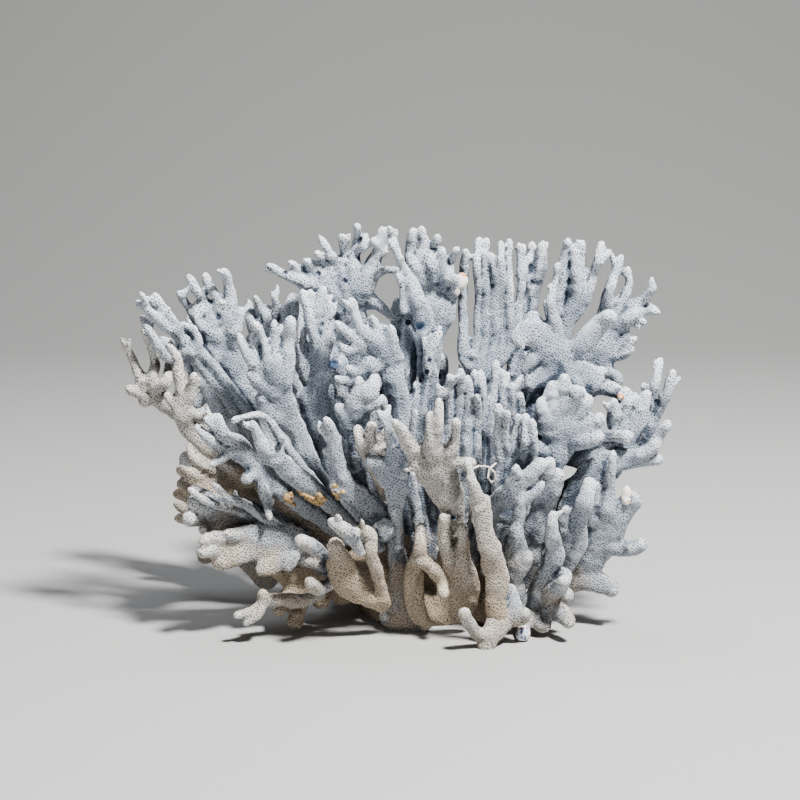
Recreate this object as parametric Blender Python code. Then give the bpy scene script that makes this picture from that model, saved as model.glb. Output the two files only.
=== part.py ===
"""Blue coral specimen: a dense cluster of finger-tipped fronds that grew from one holdfast, sawn flat underneath.

Lengths are in millimetres until the meshes are made. +X is to the right, +Y away from the front, +Z up, and the
origin is on the flat cut that the coral stands on.
"""
import math
import random

import bmesh
import bpy
from mathutils import Matrix, Vector
from mathutils.bvhtree import BVHTree

MM = 0.001

# Driving sizes
BLADE_THICKNESS = 6.5        # half the thickness of a frond's blade; a finger thinner than this stays round
LUMP_SPACING = 4.5           # step between the overlapping lumps that build up a strand
GRID = 2.4                   # cell size at which a frond's lumps are fused into one skin
TRIANGLES_PER_SHOOT = 17     # what one finger may cost in the solid
TRIANGLES_PER_FROND = 36     # what the blade below the fingers may cost
HOLDFAST_TRIANGLES = 340
CUT_GAP = 0.45               # clearance left where one frond is cut by its neighbour
TIP_WANDER = 7.0             # how far a fingertip strays out of its frond's plane
FRONT_FACE = Vector((0, -1, 0))

SHADES = {
    "pale": (0.66, 0.70, 0.76),
    "tan": (0.52, 0.44, 0.34),
    "base": (0.45, 0.40, 0.34),
}


def fork(x, z, r, *shoots, dy=0.0):
    """A point of a frond with its half width, and the shoots that grow on from it."""
    return {"x": x, "z": z, "r": r, "dy": dy, "shoots": shoots}


def frond(root_y, tip_y, tree, thick=BLADE_THICKNESS, face=FRONT_FACE):
    """A frond drawn in the front view, and its depth at the root and at the furthest tip."""
    return {"root_y": root_y, "tip_y": tip_y, "tree": tree, "thick": thick, "face": Vector(face).normalized()}


# Left side, from the outermost arm inwards
FRONDS = {
    "left_arm": ("tan", [
        frond(-12, -45, fork(-62, 62, 10, fork(-110, 118, 9.5, fork(-150, 157, 9, fork(-178, 180, 9,
            fork(-197, 194, 9,
                fork(-205, 208, 5.5, fork(-211, 222, 4.4, fork(-217, 238, 3.7))),
                fork(-195, 210, 5.5, fork(-193, 222, 4.8, fork(-198, 246, 3.9))),
                fork(-184, 204, 6, fork(-182, 216, 4.8, fork(-180, 235, 3.5))),
            )))))),
    ]),
    "left_hand": ("tan", [
        frond(-34, -72, fork(-50, 66, 8.5, fork(-104, 120, 8.5, fork(-146, 151, 8, fork(-163, 169, 8,
            fork(-169, 184, 8,
                fork(-168, 199, 7, fork(-171, 214, 5.5, fork(-172, 226, 4.6, fork(-177, 237, 3.5)))),
                fork(-162, 199, 4.8, fork(-158, 215, 3.7)),
            )))))),
    ]),
    "top_left_fan": ("pale", [
        frond(0, -30, fork(-55, 66, 11, fork(-92, 130, 12, fork(-120, 178, 13, fork(-134, 208, 14,
            fork(-139, 232, 14,
                fork(-150, 244, 8, fork(-160, 251, 5.4, fork(-168, 262, 4.6, fork(-173, 275, 4)))),
                fork(-148, 250, 7, fork(-154, 266, 5, fork(-159, 276, 4.8, fork(-165, 287, 3.8)))),
                fork(-142, 254, 7.5, fork(-143, 268, 5, fork(-149, 279, 4.8, fork(-151, 288, 3.8)))),
                fork(-135, 256, 8, fork(-133, 270, 5.6, fork(-135, 283, 5, fork(-137, 292, 4.2)))),
            )))))),
    ]),
    "outer_left_fan": ("pale", [
        frond(-6, -52, fork(-66, 76, 8.5, fork(-104, 142, 8.5, fork(-132, 188, 8.5, fork(-150, 214, 8.5,
            fork(-162, 229, 8,
                fork(-172, 243, 6, fork(-183, 251, 5.5, fork(-192, 261, 5, fork(-203, 270, 3.8)))),
                fork(-167, 241, 5, fork(-174, 251, 4.5, fork(-183, 264, 4.2, fork(-191, 275, 3.6)))),
                fork(-172, 222, 6, fork(-184, 226, 5.4, fork(-191, 242, 4.6, fork(-200, 256, 3.7)))),
            )))))),
    ]),
    "left_spotted_fan": ("pale", [
        frond(-30, -64, fork(-40, 72, 8.5, fork(-58, 114, 8.5, fork(-70, 140, 8.5, fork(-82, 168, 9,
            fork(-93, 198, 10,
                fork(-107, 216, 8, fork(-118, 231, 5.2, fork(-124, 244, 3.7))),
                fork(-108, 224, 6, fork(-112, 244, 3.6)),
                fork(-101, 220, 5.4, fork(-103, 238, 4.2, fork(-108, 254, 3.7))),
                fork(-95, 218, 7, fork(-96, 234, 5.2, fork(-95, 255, 4.2))),
                fork(-88, 214, 8.5, fork(-85, 236, 6.2, fork(-83, 257, 5.6))),
            )))))),
    ]),
    "left_inner_fan": ("pale", [
        frond(16, 2, fork(-46, 66, 10, fork(-74, 150, 11, fork(-96, 208, 13, fork(-103, 230, 12,
            fork(-111, 250, 5, fork(-115, 267, 3.6)),
            fork(-105, 246, 5, fork(-106, 258, 3.8)),
            fork(-98, 248, 6, fork(-98, 260, 4.6, fork(-101, 271, 3.7))),
            fork(-90, 240, 8, fork(-86, 256, 7.5, fork(-84, 266, 6))),
            fork(-117, 240, 5.4, fork(-124, 257, 4)),
        ))))),
    ]),
    "left_column": ("pale", [
        frond(-18, -46, fork(-34, 70, 10, fork(-56, 130, 11, fork(-66, 180, 12,
            fork(-64, 200, 9, fork(-62, 218, 8,
                fork(-64, 236, 5.4, fork(-68, 252, 5.2, fork(-71, 266, 4.8, fork(-74, 277, 3.7)))),
                fork(-62, 240, 5.4, fork(-62, 258, 7, fork(-57, 279, 4))),
                fork(-57, 231, 6, fork(-49, 241, 4.8, fork(-42, 251, 3.9, fork(-36, 265, 3.4)))),
            )),
            fork(-75, 192, 7),
        )))),
    ]),
    "left_front_arm": ("pale", [
        frond(-42, -84, fork(-46, 82, 8, fork(-84, 112, 8, fork(-104, 131, 8,
            fork(-116, 146, 8,
                fork(-128, 154, 6.8, fork(-136, 149, 4.8, fork(-145, 146, 4))),
                fork(-124, 160, 6.8, fork(-134, 168, 5.8, fork(-141, 174, 5, fork(-148, 182, 4)))),
                fork(-137, 158, 6.6, fork(-147, 167, 5.6, fork(-155, 175, 3.8))),
            ),
            fork(-112, 134, 7, fork(-120, 130, 6)),
            fork(-104, 120, 6, fork(-102, 110, 5, fork(-101, 101, 3.8))),
        )))),
    ]),
    "left_front_limb": ("pale", [
        frond(-56, -106, fork(-34, 92, 8, fork(-60, 119, 8, fork(-74, 131, 8.6, fork(-86, 143, 8.6,
            fork(-93, 152, 8,
                fork(-101, 160, 6.6, fork(-106, 170, 5.6, fork(-110, 183, 4))),
                fork(-107, 155, 6),
            )))))),
        frond(-56, -96, fork(-58, 112, 7, fork(-82, 150, 5.4, fork(-100, 181, 4, fork(-112, 187, 3.7,
            fork(-125, 184, 3.6)))))),
    ]),
    "tan_plate": ("tan", [
        frond(12, -34, fork(-58, 56, 11, fork(-100, 92, 15, fork(-134, 112, 18,
            fork(-150, 129, 8, fork(-162, 139, 5.6, fork(-168, 149, 4.4))),
            fork(-156, 120, 9, fork(-169, 129, 6, fork(-176, 133, 4.8))),
            fork(-158, 113, 9, fork(-175, 120, 5.4)),
            fork(-156, 106, 9, fork(-179, 109, 4.8)),
            fork(-126, 122, 9, fork(-139, 136, 5.2, fork(-146, 143, 4))),
            fork(-118, 122, 9, fork(-124, 137, 4.6)),
        )))),
    ]),
    "ridged_plate": ("pale", [
        frond(-29, -67, fork(-60, 59, 12, fork(-94, 83, 15, fork(-126, 98, 17,
            fork(-147, 111, 8, fork(-163, 122, 5)),
            fork(-150, 104, 9, fork(-163, 112, 5)),
            fork(-150, 98, 9, fork(-165, 98, 6.6)),
            fork(-142, 92, 9, fork(-155, 88, 5.4)),
        )))),
        frond(-44, -82, fork(-74, 78, 7, fork(-99, 92, 6.2, fork(-118, 108, 4.8, fork(-131, 117, 4,
            fork(-143, 128, 3.4))))), thick=5),
        frond(-44, -76, fork(-84, 80, 7, fork(-120, 99, 4.8, fork(-148, 113, 4, fork(-163, 123, 3.4,
        )))), thick=5),
    ]),
    "tan_finger": ("tan", [
        frond(-4, -42, fork(-66, 42, 8,
            fork(-108, 66, 8, fork(-140, 83, 7, fork(-158, 89, 6, fork(-177, 92, 5)))),
            fork(-110, 66, 7, fork(-138, 73, 6)),
        )),
    ]),
    "lobed_plate": ("pale", [
        frond(-40, -82, fork(-52, 54, 11, fork(-82, 72, 16,
            fork(-112, 78, 16,
                fork(-133, 82, 8, fork(-146, 86, 5.4, fork(-153, 84, 4.4))),
                fork(-134, 75, 9, fork(-154, 76, 5.4)),
                fork(-130, 68, 9, fork(-144, 62, 5.2)),
                fork(-122, 84, 8, fork(-134, 88, 4.6)),
            ),
            fork(-96, 62, 10, fork(-108, 55, 6.4)),
            fork(-85, 64, 9, fork(-89, 57, 6.4)),
        ))),
    ]),
    "egg_lobes": ("pale", [
        frond(-60, -98, fork(-34, 50, 7, fork(-50, 62, 5.6,
            fork(-62, 77, 6.6, fork(-75, 90, 6.4)),
            fork(-59, 62, 6.6, fork(-72, 71, 6.4)),
            fork(-50, 50, 5.6, fork(-60, 46, 6.8, fork(-68, 55, 6.4))),
        )), thick=8),
    ]),
    "left_foot": ("tan", [
        frond(-10, -56, fork(-38, 36, 14, fork(-60, 37, 18, fork(-76, 40, 17,
            fork(-91, 47, 8, fork(-99, 52, 5.2)),
            fork(-88, 28, 8, fork(-96, 19, 5.6)),
            fork(-78, 20, 8, fork(-82, 8, 7)),
        )))),
    ]),
    "white_finger": ("pale", [
        frond(-52, -92, fork(-62, 31, 6, fork(-78, 28, 6.6, fork(-92, 32, 6.6, fork(-104, 34, 6,
            fork(-113, 27, 5, fork(-127, 25, 4.6)),
            fork(-110, 24, 4.6, fork(-120, 18, 4.2)),
        ))))),
    ]),
    # Front and centre
    "centre_spray": ("pale", [
        frond(-66, -98, fork(-4, 88, 9, fork(-10, 92, 12, fork(-17, 102, 14.5, fork(-28, 113, 13.5,
            fork(-39, 125, 10,
                fork(-47, 140, 6.6, fork(-46, 151, 5.2, fork(-55, 157, 4.2))),
                fork(-47, 148, 5.4, fork(-50, 163, 5, fork(-59, 179, 3.8))),
                fork(-44, 150, 5.2, fork(-47, 168, 5, fork(-54, 185, 4.2))),
            ))), dy=-12))),
        frond(-96, -120, fork(-28, 78, 5, fork(-34, 90, 6,
            fork(-41, 99, 7, fork(-51, 107, 4.6)),
            fork(-31, 99, 4.8),
        ))),
    ]),
    "tan_lobes": ("tan", [
        frond(-66, -102, fork(-10, 26, 7.4,
            fork(-24, 36, 8, fork(-36, 47, 13, fork(-42, 59, 13.6, fork(-46, 73, 9.4, fork(-49, 87, 6))))),
            fork(-12, 40, 5.8, fork(-16, 58, 5.8, fork(-20, 76, 6.4, fork(-20, 90, 6.4, fork(-28, 98, 4.8,
            ))))),
        )),
    ]),
    "centre_foot": ("pale", [
        frond(-44, -70, fork(6, 8, 13,
            fork(-8, 12, 8.5),
            fork(24, 4, 6.4),
            fork(3, 30, 11, fork(3, 46, 9.8, fork(2, 60, 8.4, fork(0, 76, 7, fork(-1, 92, 6.6,
                fork(-2, 108, 6)))))),
        )),
    ]),
    "wishbone": ("tan", [
        frond(-56, -88, fork(18, 12, 6, fork(11, 30, 6, fork(11, 52, 6.4, fork(17, 68, 7.4, fork(19, 80, 6.2,
            fork(20, 96, 4.8))))))),
        frond(-84, -84, fork(17, 70, 7, fork(28, 61, 6.4, fork(35, 51, 6.4, fork(37, 42, 5.4))))),
        frond(-60, -72, fork(24, 8, 6, fork(20, 24, 5.2, fork(18, 38, 4.8, fork(18, 54, 4.2))))),
    ]),
    "centre_hand": ("tan", [
        frond(-62, -126, fork(38, 60, 7, fork(45, 98, 8, fork(43, 115, 11, fork(37, 130, 15, fork(31, 145, 17,
            fork(15, 160, 8, fork(7, 173, 6.4, fork(-1, 187, 4.4))),
            fork(27, 162, 7, fork(26, 176, 4.8, fork(26, 191, 4))),
            fork(31, 166, 6, fork(32, 184, 5, fork(33, 203, 4.4))),
            fork(41, 158, 7, fork(45, 172, 5, fork(45, 188, 4))),
            fork(44, 151, 6, fork(58, 153, 5)),
        ))))), thick=9),
    ]),
    "long_ridge": ("tan", [
        frond(-88, -116, fork(80, 26, 9, fork(79, 38, 9.6, fork(79, 52, 10, fork(75, 75, 9.6, fork(67, 102, 8,
            fork(61, 128, 6.2, fork(57, 142, 4.6, fork(54, 154, 3.4)))))))), thick=5.4),
    ]),
    "front_foot": ("pale", [
        frond(-78, -108, fork(87, 38, 12,
            fork(82, 22, 12.5, fork(74, 8, 9.4, fork(70, 1, 6.4), fork(62, 14, 6, fork(52, 33, 5.6)))),
            fork(94, 22, 9, fork(101, 26, 8)),
        )),
    ]),
    "right_front_fork": ("pale", [
        frond(-62, -96, fork(92, 14, 9, fork(96, 32, 9, fork(93, 52, 9,
            fork(100, 62, 7, fork(105, 71, 6.2)),
            fork(95, 72, 9, fork(95, 88, 7, fork(96, 104, 5.8, fork(98, 118, 5.2, fork(103, 134, 4.6))))),
        )))),
        frond(-52, -102, fork(72, 70, 7, fork(74, 100, 8, fork(82, 116, 8,
            fork(96, 131, 8, fork(106, 143, 7, fork(112, 151, 5))),
            fork(88, 128, 5.4, fork(93, 146, 4.2)),
        )))),
    ]),
    "right_column": ("pale", [
        frond(-52, -92, fork(112, 14, 9,
            fork(112, 32, 9, fork(119, 50, 9, fork(125, 66, 8.4, fork(124, 80, 7, fork(122, 94, 6.2,
                fork(122, 108, 5)))))),
            fork(126, 36, 7, fork(138, 34, 7)),
        )),
    ]),
    "right_round_plate": ("pale", [
        frond(-40, -70, fork(104, 40, 10, fork(108, 78, 14, fork(113, 104, 15,
            fork(124, 121, 8, fork(128, 136, 5.4)),
            fork(118, 126, 8, fork(120, 146, 6)),
            fork(109, 124, 8, fork(108, 143, 5.4)),
            fork(102, 114, 8, fork(98, 129, 5)),
        )))),
    ]),
    "right_bracket": ("pale", [
        frond(-40, -74, fork(118, 34, 10,
            fork(130, 47, 9, fork(140, 62, 9, fork(146, 76, 8.6, fork(144, 94, 8.6, fork(149, 112, 8,
                fork(153, 129, 5.8)))))),
            fork(134, 76, 8, fork(132, 92, 6.4, fork(136, 106, 5))),
        )),
        frond(-40, -50, fork(118, 34, 10, fork(136, 80, 12, fork(150, 118, 14, fork(167, 138, 12,
            fork(184, 142, 9,
                fork(199, 143, 7, fork(211, 142, 5)),
                fork(203, 151, 6.6, fork(210, 163, 5.8, fork(216, 174, 5))),
            )))))),
    ]),
    "right_lower_plate": ("pale", [
        frond(-26, -66, fork(116, 22, 12, fork(134, 38, 13,
            fork(149, 54, 17, fork(163, 74, 18,
                fork(172, 91, 15,
                    fork(182, 103, 10, fork(191, 112, 7.4)),
                    fork(168, 104, 8, fork(170, 120, 5.8, fork(170, 138, 5, fork(171, 151, 4.2)))),
                ),
                fork(181, 69, 8, fork(190, 70, 6.6, fork(199, 74, 6))),
            )),
            fork(152, 40, 10, fork(166, 37, 8.6, fork(176, 33, 7))),
        ))),
    ]),
    "right_base_lobes": ("pale", [
        frond(-46, -90, fork(110, 26, 9.6,
            fork(126, 23, 8.4, fork(138, 18, 6.8)),
            fork(117, 14, 8.4, fork(117, 9, 7.4)),
            fork(106, 18, 7, fork(101, 6, 6)),
            fork(125, 38, 8, fork(134, 54, 5.6)),
        )),
    ]),
    # Right side
    "far_right_antler": ("pale", [
        frond(-12, -36, fork(92, 60, 8, fork(140, 110, 8, fork(178, 138, 7.8, fork(198, 152, 7.2,
            fork(209, 174, 6.2, fork(216, 192, 5.4, fork(222, 211, 4.4))),
            fork(204, 172, 6, fork(204, 187, 5.4, fork(207, 203, 4.8, fork(211, 219, 3.9)))),
            fork(212, 160, 5, fork(219, 168, 4)),
        ))))),
    ]),
    "right_shield": ("pale", [
        frond(-20, -50, fork(104, 50, 8, fork(144, 98, 12, fork(170, 134, 14, fork(184, 158, 14,
            fork(184, 178, 8, fork(183, 198, 5)),
            fork(194, 174, 8, fork(200, 196, 4.8)),
            fork(174, 172, 7, fork(172, 190, 4.6)),
        ))))),
    ]),
    "right_arch": ("pale", [
        frond(0, -52, fork(86, 60, 9, fork(112, 118, 10, fork(129, 141, 9, fork(143, 151, 8, fork(155, 157, 7,
            fork(168, 161, 6.4, fork(184, 163, 5.6)))))))),
        frond(0, -26, fork(86, 60, 9, fork(120, 150, 10, fork(136, 184, 8,
            fork(145, 200, 6.4, fork(154, 209, 6, fork(166, 211, 5.4))),
            fork(148, 190, 8, fork(164, 196, 7.4, fork(178, 194, 6, fork(185, 186, 4.8)))),
        )))),
    ]),
    # The crown, from left to right
    "crown_spray": ("pale", [
        frond(10, -30, fork(-18, 76, 11, fork(-26, 160, 11, fork(-32, 228, 12, fork(-40, 261, 14,
            fork(-57, 275, 7.5, fork(-74, 281, 6.6, fork(-87, 288, 5.4, fork(-101, 296, 3.7)))),
            fork(-59, 281, 6, fork(-74, 289, 5, fork(-85, 298, 3.5))),
            fork(-53, 282, 8, fork(-64, 292, 5.8, fork(-72, 300, 4.2))),
            fork(-48, 284, 7, fork(-56, 297, 5.4, fork(-63, 306, 4))),
            fork(-42, 286, 6, fork(-48, 298, 4.4, fork(-53, 307, 4.2, fork(-60, 316, 3.4)))),
            fork(-38, 286, 7, fork(-41, 302, 4.6, fork(-43, 319, 4))),
            fork(-34, 290, 7, fork(-33, 306, 5.4, fork(-31, 316, 4.4, fork(-31, 328, 4.4)))),
            fork(-22, 286, 8, fork(-18, 299, 6.4,
                fork(-13, 309, 5.6, fork(-12, 325, 4.6)),
                fork(-8, 313, 4.6, fork(-2, 322, 3.7)),
            )),
            fork(-14, 290, 5, fork(2, 292, 3.5)),
            fork(-26, 268, 9, fork(-15, 264, 5.2, fork(-3, 253, 3.7))),
        ))))),
    ]),
    "white_fan": ("pale", [
        frond(-40, -68, fork(10, 84, 9, fork(6, 140, 9.5, fork(1, 184, 9.2, fork(0, 204, 9.6,
            fork(-8, 223, 13,
                fork(-22, 234, 8, fork(-34, 243, 5.2, fork(-46, 255, 3.6))),
                fork(-20, 220, 8, fork(-29, 213, 6, fork(-36, 207, 4.8, fork(-47, 211, 4)))),
                fork(-16, 240, 8, fork(-27, 249, 5.6, fork(-31, 257, 4.8, fork(-35, 272, 3.6)))),
                fork(-10, 239, 6, fork(-13, 249, 4.4, fork(-18, 259, 3.6))),
                fork(-3, 237, 6, fork(-3, 250, 4.4)),
            )))))),
    ]),
    "sloping_blade": ("pale", [
        frond(-24, -46, fork(22, 90, 8, fork(25, 170, 8, fork(24, 228, 8,
            fork(22, 254, 8,
                fork(15, 273, 8, fork(8, 289, 5.2, fork(2, 303, 4.4, fork(-2, 318, 3.4)))),
                fork(13, 262, 5, fork(6, 263, 4.8, fork(5, 276, 4.6, fork(1, 289, 4)))),
            ),
            fork(14, 242, 4.8, fork(9, 252, 4)),
        )))),
    ]),
    "crown_block": ("pale", [
        frond(14, -12, fork(12, 72, 10, fork(22, 170, 9.4, fork(29, 232, 11, fork(31, 256, 17,
            fork(29, 276, 18,
                fork(16, 292, 6.4, fork(12, 304, 6, fork(14, 323, 4.6))),
                fork(20, 296, 6.4, fork(23, 309, 5, fork(20, 324, 4.2))),
                fork(28, 296, 6, fork(30, 306, 4.8, fork(32, 318, 4))),
                fork(36, 292, 6, fork(37, 307, 4.8)),
                fork(42, 284, 6, fork(44, 296, 4.8, fork(48, 307, 4))),
                fork(46, 270, 6, fork(49, 285, 4.4)),
            )))))),
        frond(16, 14, fork(12, 76, 10, fork(8, 150, 11, fork(7, 206, 12,
            fork(2, 236, 8, fork(1, 262, 5.4)),
            fork(12, 240, 9, fork(14, 270, 6)),
        )))),
    ]),
    "tall_fingers": ("pale", [
        frond(10, 4, fork(46, 70, 11, fork(62, 160, 12, fork(72, 204, 13,
            fork(56, 220, 6, fork(55, 250, 4.8, fork(55, 280, 5, fork(56, 304, 4.2)))),
            fork(66, 226, 5.4, fork(67, 262, 4.2, fork(65, 294, 4.4, fork(68, 312, 3.8)))),
            fork(73, 228, 5.4, fork(74, 262, 4.8, fork(72, 286, 4.2, fork(74, 312, 4)))),
            fork(81, 230, 5.4, fork(82, 270, 4.6, fork(80, 288, 4.2, fork(77, 300, 3.8)))),
            fork(87, 228, 5.4, fork(87, 270, 4.2, fork(85, 296, 4, fork(84, 310, 3.6)))),
            fork(93, 228, 5.4, fork(93, 268, 4, fork(92, 290, 4, fork(91, 312, 3.5)))),
            fork(97, 230, 5.4, fork(101, 262, 4.4, fork(102, 290, 4.8, fork(99, 308, 3.8)))),
        )))),
    ]),
    "right_crown_hand": ("pale", [
        frond(-22, -52, fork(76, 64, 10, fork(104, 146, 12, fork(118, 190, 14,
            fork(130, 208, 17, fork(134, 224, 13,
                fork(121, 240, 9, fork(107, 250, 8.4, fork(105, 260, 6.8))),
                fork(116, 230, 9, fork(101, 239, 8.4)),
                fork(127, 248, 6, fork(122, 268, 5, fork(125, 283, 4.4, fork(128, 298, 3.6)))),
                fork(147, 237, 10, fork(159, 249, 9, fork(170, 258, 7))),
            )),
            fork(114, 206, 9, fork(106, 203, 7.4)),
        )))),
    ]),
    "twin_fingers": ("pale", [
        frond(26, 14, fork(62, 70, 10, fork(92, 160, 11, fork(104, 230, 9, fork(109, 268, 8,
            fork(112, 288, 6.4, fork(112, 308, 4.2)),
            fork(117, 288, 6.4, fork(120, 309, 4.4)),
        ))))),
    ]),
    "right_crown_antlers": ("pale", [
        frond(12, -4, fork(80, 68, 10, fork(114, 166, 11, fork(132, 234, 10,
            fork(130, 262, 5.6, fork(134, 278, 5.4, fork(136, 301, 5, fork(138, 314, 4)))),
            fork(143, 262, 7, fork(146, 284, 6.4, fork(143, 308, 4))),
            fork(147, 270, 6, fork(149, 292, 5.6, fork(150, 312, 4.2))),
            fork(152, 262, 6, fork(159, 284, 5.2, fork(164, 297, 5.2, fork(167, 310, 4)))),
        )))),
    ]),
    "far_right_crown": ("pale", [
        frond(22, 2, fork(92, 64, 10, fork(138, 160, 12, fork(158, 202, 15,
            fork(168, 222, 15.5,
                fork(174, 240, 13,
                    fork(174, 258, 7, fork(174, 271, 5.6, fork(178, 284, 5, fork(183, 299, 4)))),
                    fork(182, 254, 7, fork(187, 266, 5.4, fork(190, 276, 4.6, fork(189, 289, 4)))),
                    fork(190, 256, 7, fork(202, 265, 5.4, fork(209, 276, 4))),
                    fork(193, 253, 6, fork(204, 256, 6.4, fork(214, 254, 4.4))),
                    fork(187, 247, 5, fork(202, 247, 4)),
                ),
                fork(184, 229, 5.4, fork(195, 232, 4)),
                fork(182, 217, 5.4, fork(192, 223, 4)),
            ),
            fork(176, 204, 6.4, fork(184, 195, 5.4)),
        )))),
    ]),
    # The standing fingers of the middle
    "middle_fingers_a": ("pale", [
        frond(-40, -66, fork(36, 56, 9, fork(44, 84, 12, fork(46, 100, 12,
            fork(33, 122, 5.4, fork(34, 152, 5, fork(33, 184, 4.6, fork(33, 206, 3.7)))),
            fork(40, 126, 5.6, fork(42, 158, 4.8, fork(42, 190, 4.6, fork(42, 214, 4)))),
            fork(48, 128, 5.4, fork(49, 160, 5, fork(50, 190, 4.6, fork(51, 217, 4)))),
            fork(56, 124, 5.6, fork(56, 158, 5, fork(58, 188, 4.8, fork(56, 211, 4.4)))),
            fork(61, 118, 5, fork(64, 150, 4.6, fork(65, 178, 4.4, fork(64, 197, 3.8)))),
        )))),
        frond(-40, -50, fork(32, 60, 8, fork(24, 110, 10, fork(19, 140, 11,
            fork(9, 166, 5.4, fork(7, 192, 4.6, fork(4, 212, 3.8))),
            fork(16, 172, 5.4, fork(16, 204, 4)),
            fork(23, 172, 5.8, fork(25, 204, 5.4, fork(26, 226, 6, fork(34, 246, 4), fork(22, 238, 4.4)))),
        )))),
    ]),
    "middle_fingers_b": ("pale", [
        frond(-32, -54, fork(58, 54, 10, fork(68, 88, 12, fork(74, 104, 12,
            fork(62, 128, 5.4, fork(63, 160, 5, fork(61, 190, 4.6, fork(62, 213, 3.8)))),
            fork(69, 132, 5.4, fork(70, 164, 5, fork(69, 192, 4.8, fork(68, 210, 4.4)))),
            fork(76, 134, 5.6, fork(76, 168, 5, fork(77, 196, 4.8, fork(79, 220, 4.6)))),
            fork(83, 130, 5.4, fork(83, 162, 5, fork(85, 190, 4.6, fork(84, 212, 4)))),
            fork(88, 126, 5.2, fork(90, 156, 4.8, fork(92, 184, 4.4, fork(91, 203, 3.8)))),
            fork(93, 122, 5.2, fork(97, 150, 4.6, fork(99, 180, 4.4, fork(98, 195, 3.7)))),
        )))),
    ]),
    "middle_fingers_c": ("pale", [
        frond(-50, -80, fork(76, 50, 8, fork(84, 82, 10, fork(90, 96, 11,
            fork(80, 116, 5.2, fork(81, 144, 4.8, fork(80, 170, 4.4, fork(80, 192, 3.7)))),
            fork(87, 118, 5.2, fork(88, 146, 4.6, fork(86, 168, 4.2, fork(87, 187, 3.6)))),
            fork(94, 118, 5.2, fork(94, 144, 4.8, fork(94, 166, 4.4, fork(96, 182, 3.7)))),
            fork(100, 114, 5.2, fork(100, 140, 4.8, fork(101, 164, 4.4, fork(102, 182, 3.8)))),
            fork(104, 108, 5, fork(107, 136, 4.6, fork(108, 160, 4.4, fork(106, 179, 3.6)))),
        )))),
    ]),
    "scalloped_plate": ("pale", [
        frond(-36, -62, fork(86, 50, 10, fork(106, 106, 12, fork(122, 142, 14, fork(132, 162, 17,
            fork(116, 180, 8, fork(114, 193, 4.6)),
            fork(123, 190, 8, fork(123, 206, 5)),
            fork(131, 194, 8, fork(132, 212, 5)),
            fork(139, 190, 8, fork(143, 203, 5)),
            fork(147, 182, 8, fork(153, 193, 5)),
            fork(153, 172, 8, fork(163, 179, 5)),
            fork(148, 160, 8, fork(162, 164, 5)),
        ))))),
    ]),
    "spotted_blade": ("pale", [
        frond(-52, -84, fork(-14, 72, 7, fork(-26, 118, 7.4, fork(-33, 143, 7, fork(-32, 162, 7.4,
            fork(-32, 178, 11,
                fork(-40, 184, 7, fork(-46, 191, 4.4)),
                fork(-29, 192, 12.5,
                    fork(-20, 205, 7.4, fork(-16, 215, 4.6)),
                    fork(-29, 206, 6, fork(-29, 213, 4.2)),
                ),
            )))))),
    ]),
    "fluted_cups": ("pale", [
        frond(-70, -110, fork(2, 78, 5.8, fork(0, 104, 6, fork(0, 122, 9.4, fork(-2, 138, 13,
            fork(-13, 148, 8, fork(-20, 151, 5)),
            fork(0, 154, 9, fork(-3, 168, 5.4, fork(-7, 180, 4.2, fork(-13, 192, 3.6)))),
            fork(9, 150, 6, fork(13, 162, 4.2)),
        ))))),
    ]),
    "tan_scallop": ("tan", [
        frond(-56, -94, fork(-2, 84, 5.4, fork(-10, 122, 5.8, fork(-17, 144, 7, fork(-19, 159, 8.4,
            fork(-27, 168, 4.4, fork(-29, 176, 3.6)),
            fork(-20, 171, 4.6, fork(-19, 179, 3.6)),
            fork(-12, 166, 4.4, fork(-8, 173, 3.6)),
        ))))),
    ]),
    "slender_pair": ("pale", [
        frond(-50, -74, fork(16, 66, 6.4, fork(17, 96, 5.4,
            fork(14, 116, 4.8, fork(13, 135, 4)),
            fork(4, 138, 5.2, fork(-4, 170, 4.6, fork(-11, 198, 3.8))),
        ))),
    ]),
    "lower_tubes": ("tan", [
        frond(-56, -100, fork(52, 14, 8.4, fork(53, 30, 12,
            fork(45, 54, 8.4, fork(40, 72, 6.4, fork(37, 88, 6, fork(37, 106, 5.2)))),
            fork(57, 48, 10, fork(53, 66, 7, fork(52, 82, 5.8, fork(51, 98, 5.2)))),
        ))),
    ]),
    "inner_fingers": ("pale", [
        frond(31, 30, fork(22, 50, 24,
            fork(-40, 110, 12, fork(-58, 160, 9, fork(-68, 204, 5)), fork(-44, 164, 8, fork(-48, 196, 5))),
            fork(-10, 120, 14, fork(-22, 176, 9, fork(-26, 214, 5.4)), fork(-4, 176, 9, fork(-6, 222, 5.4))),
            fork(40, 120, 14, fork(36, 180, 9, fork(38, 214, 5.4)), fork(54, 176, 8, fork(58, 202, 5))),
            fork(76, 110, 13, fork(88, 166, 9, fork(94, 200, 5)), fork(108, 158, 8, fork(122, 192, 5))),
        )),
    ]),
}

# The back, which the photograph doesn't show: the same kinds of frond, turned half way round the holdfast.
# Each row gives the frond that is repeated, how wide and how tall it is against that one, and its depths.
BACK = {
    "back_left_fan": ("far_right_crown", 0.92, 0.86, 16, 66),
    "back_left_bracket": ("right_bracket", 0.84, 1.00, 36, 104),
    "back_left_plate": ("right_lower_plate", 0.96, 1.05, 34, 88),
    "back_centre_fingers": ("tall_fingers", 0.80, 0.84, 34, 76),
    "back_centre_plate": ("scalloped_plate", 0.62, 1.06, 46, 112),
    "back_right_fan": ("top_left_fan", 0.84, 0.78, 26, 66),
    "back_right_arm": ("left_front_arm", 0.96, 0.94, 44, 110),
    "back_right_plate": ("lobed_plate", 0.86, 0.92, 46, 100),
}

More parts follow.
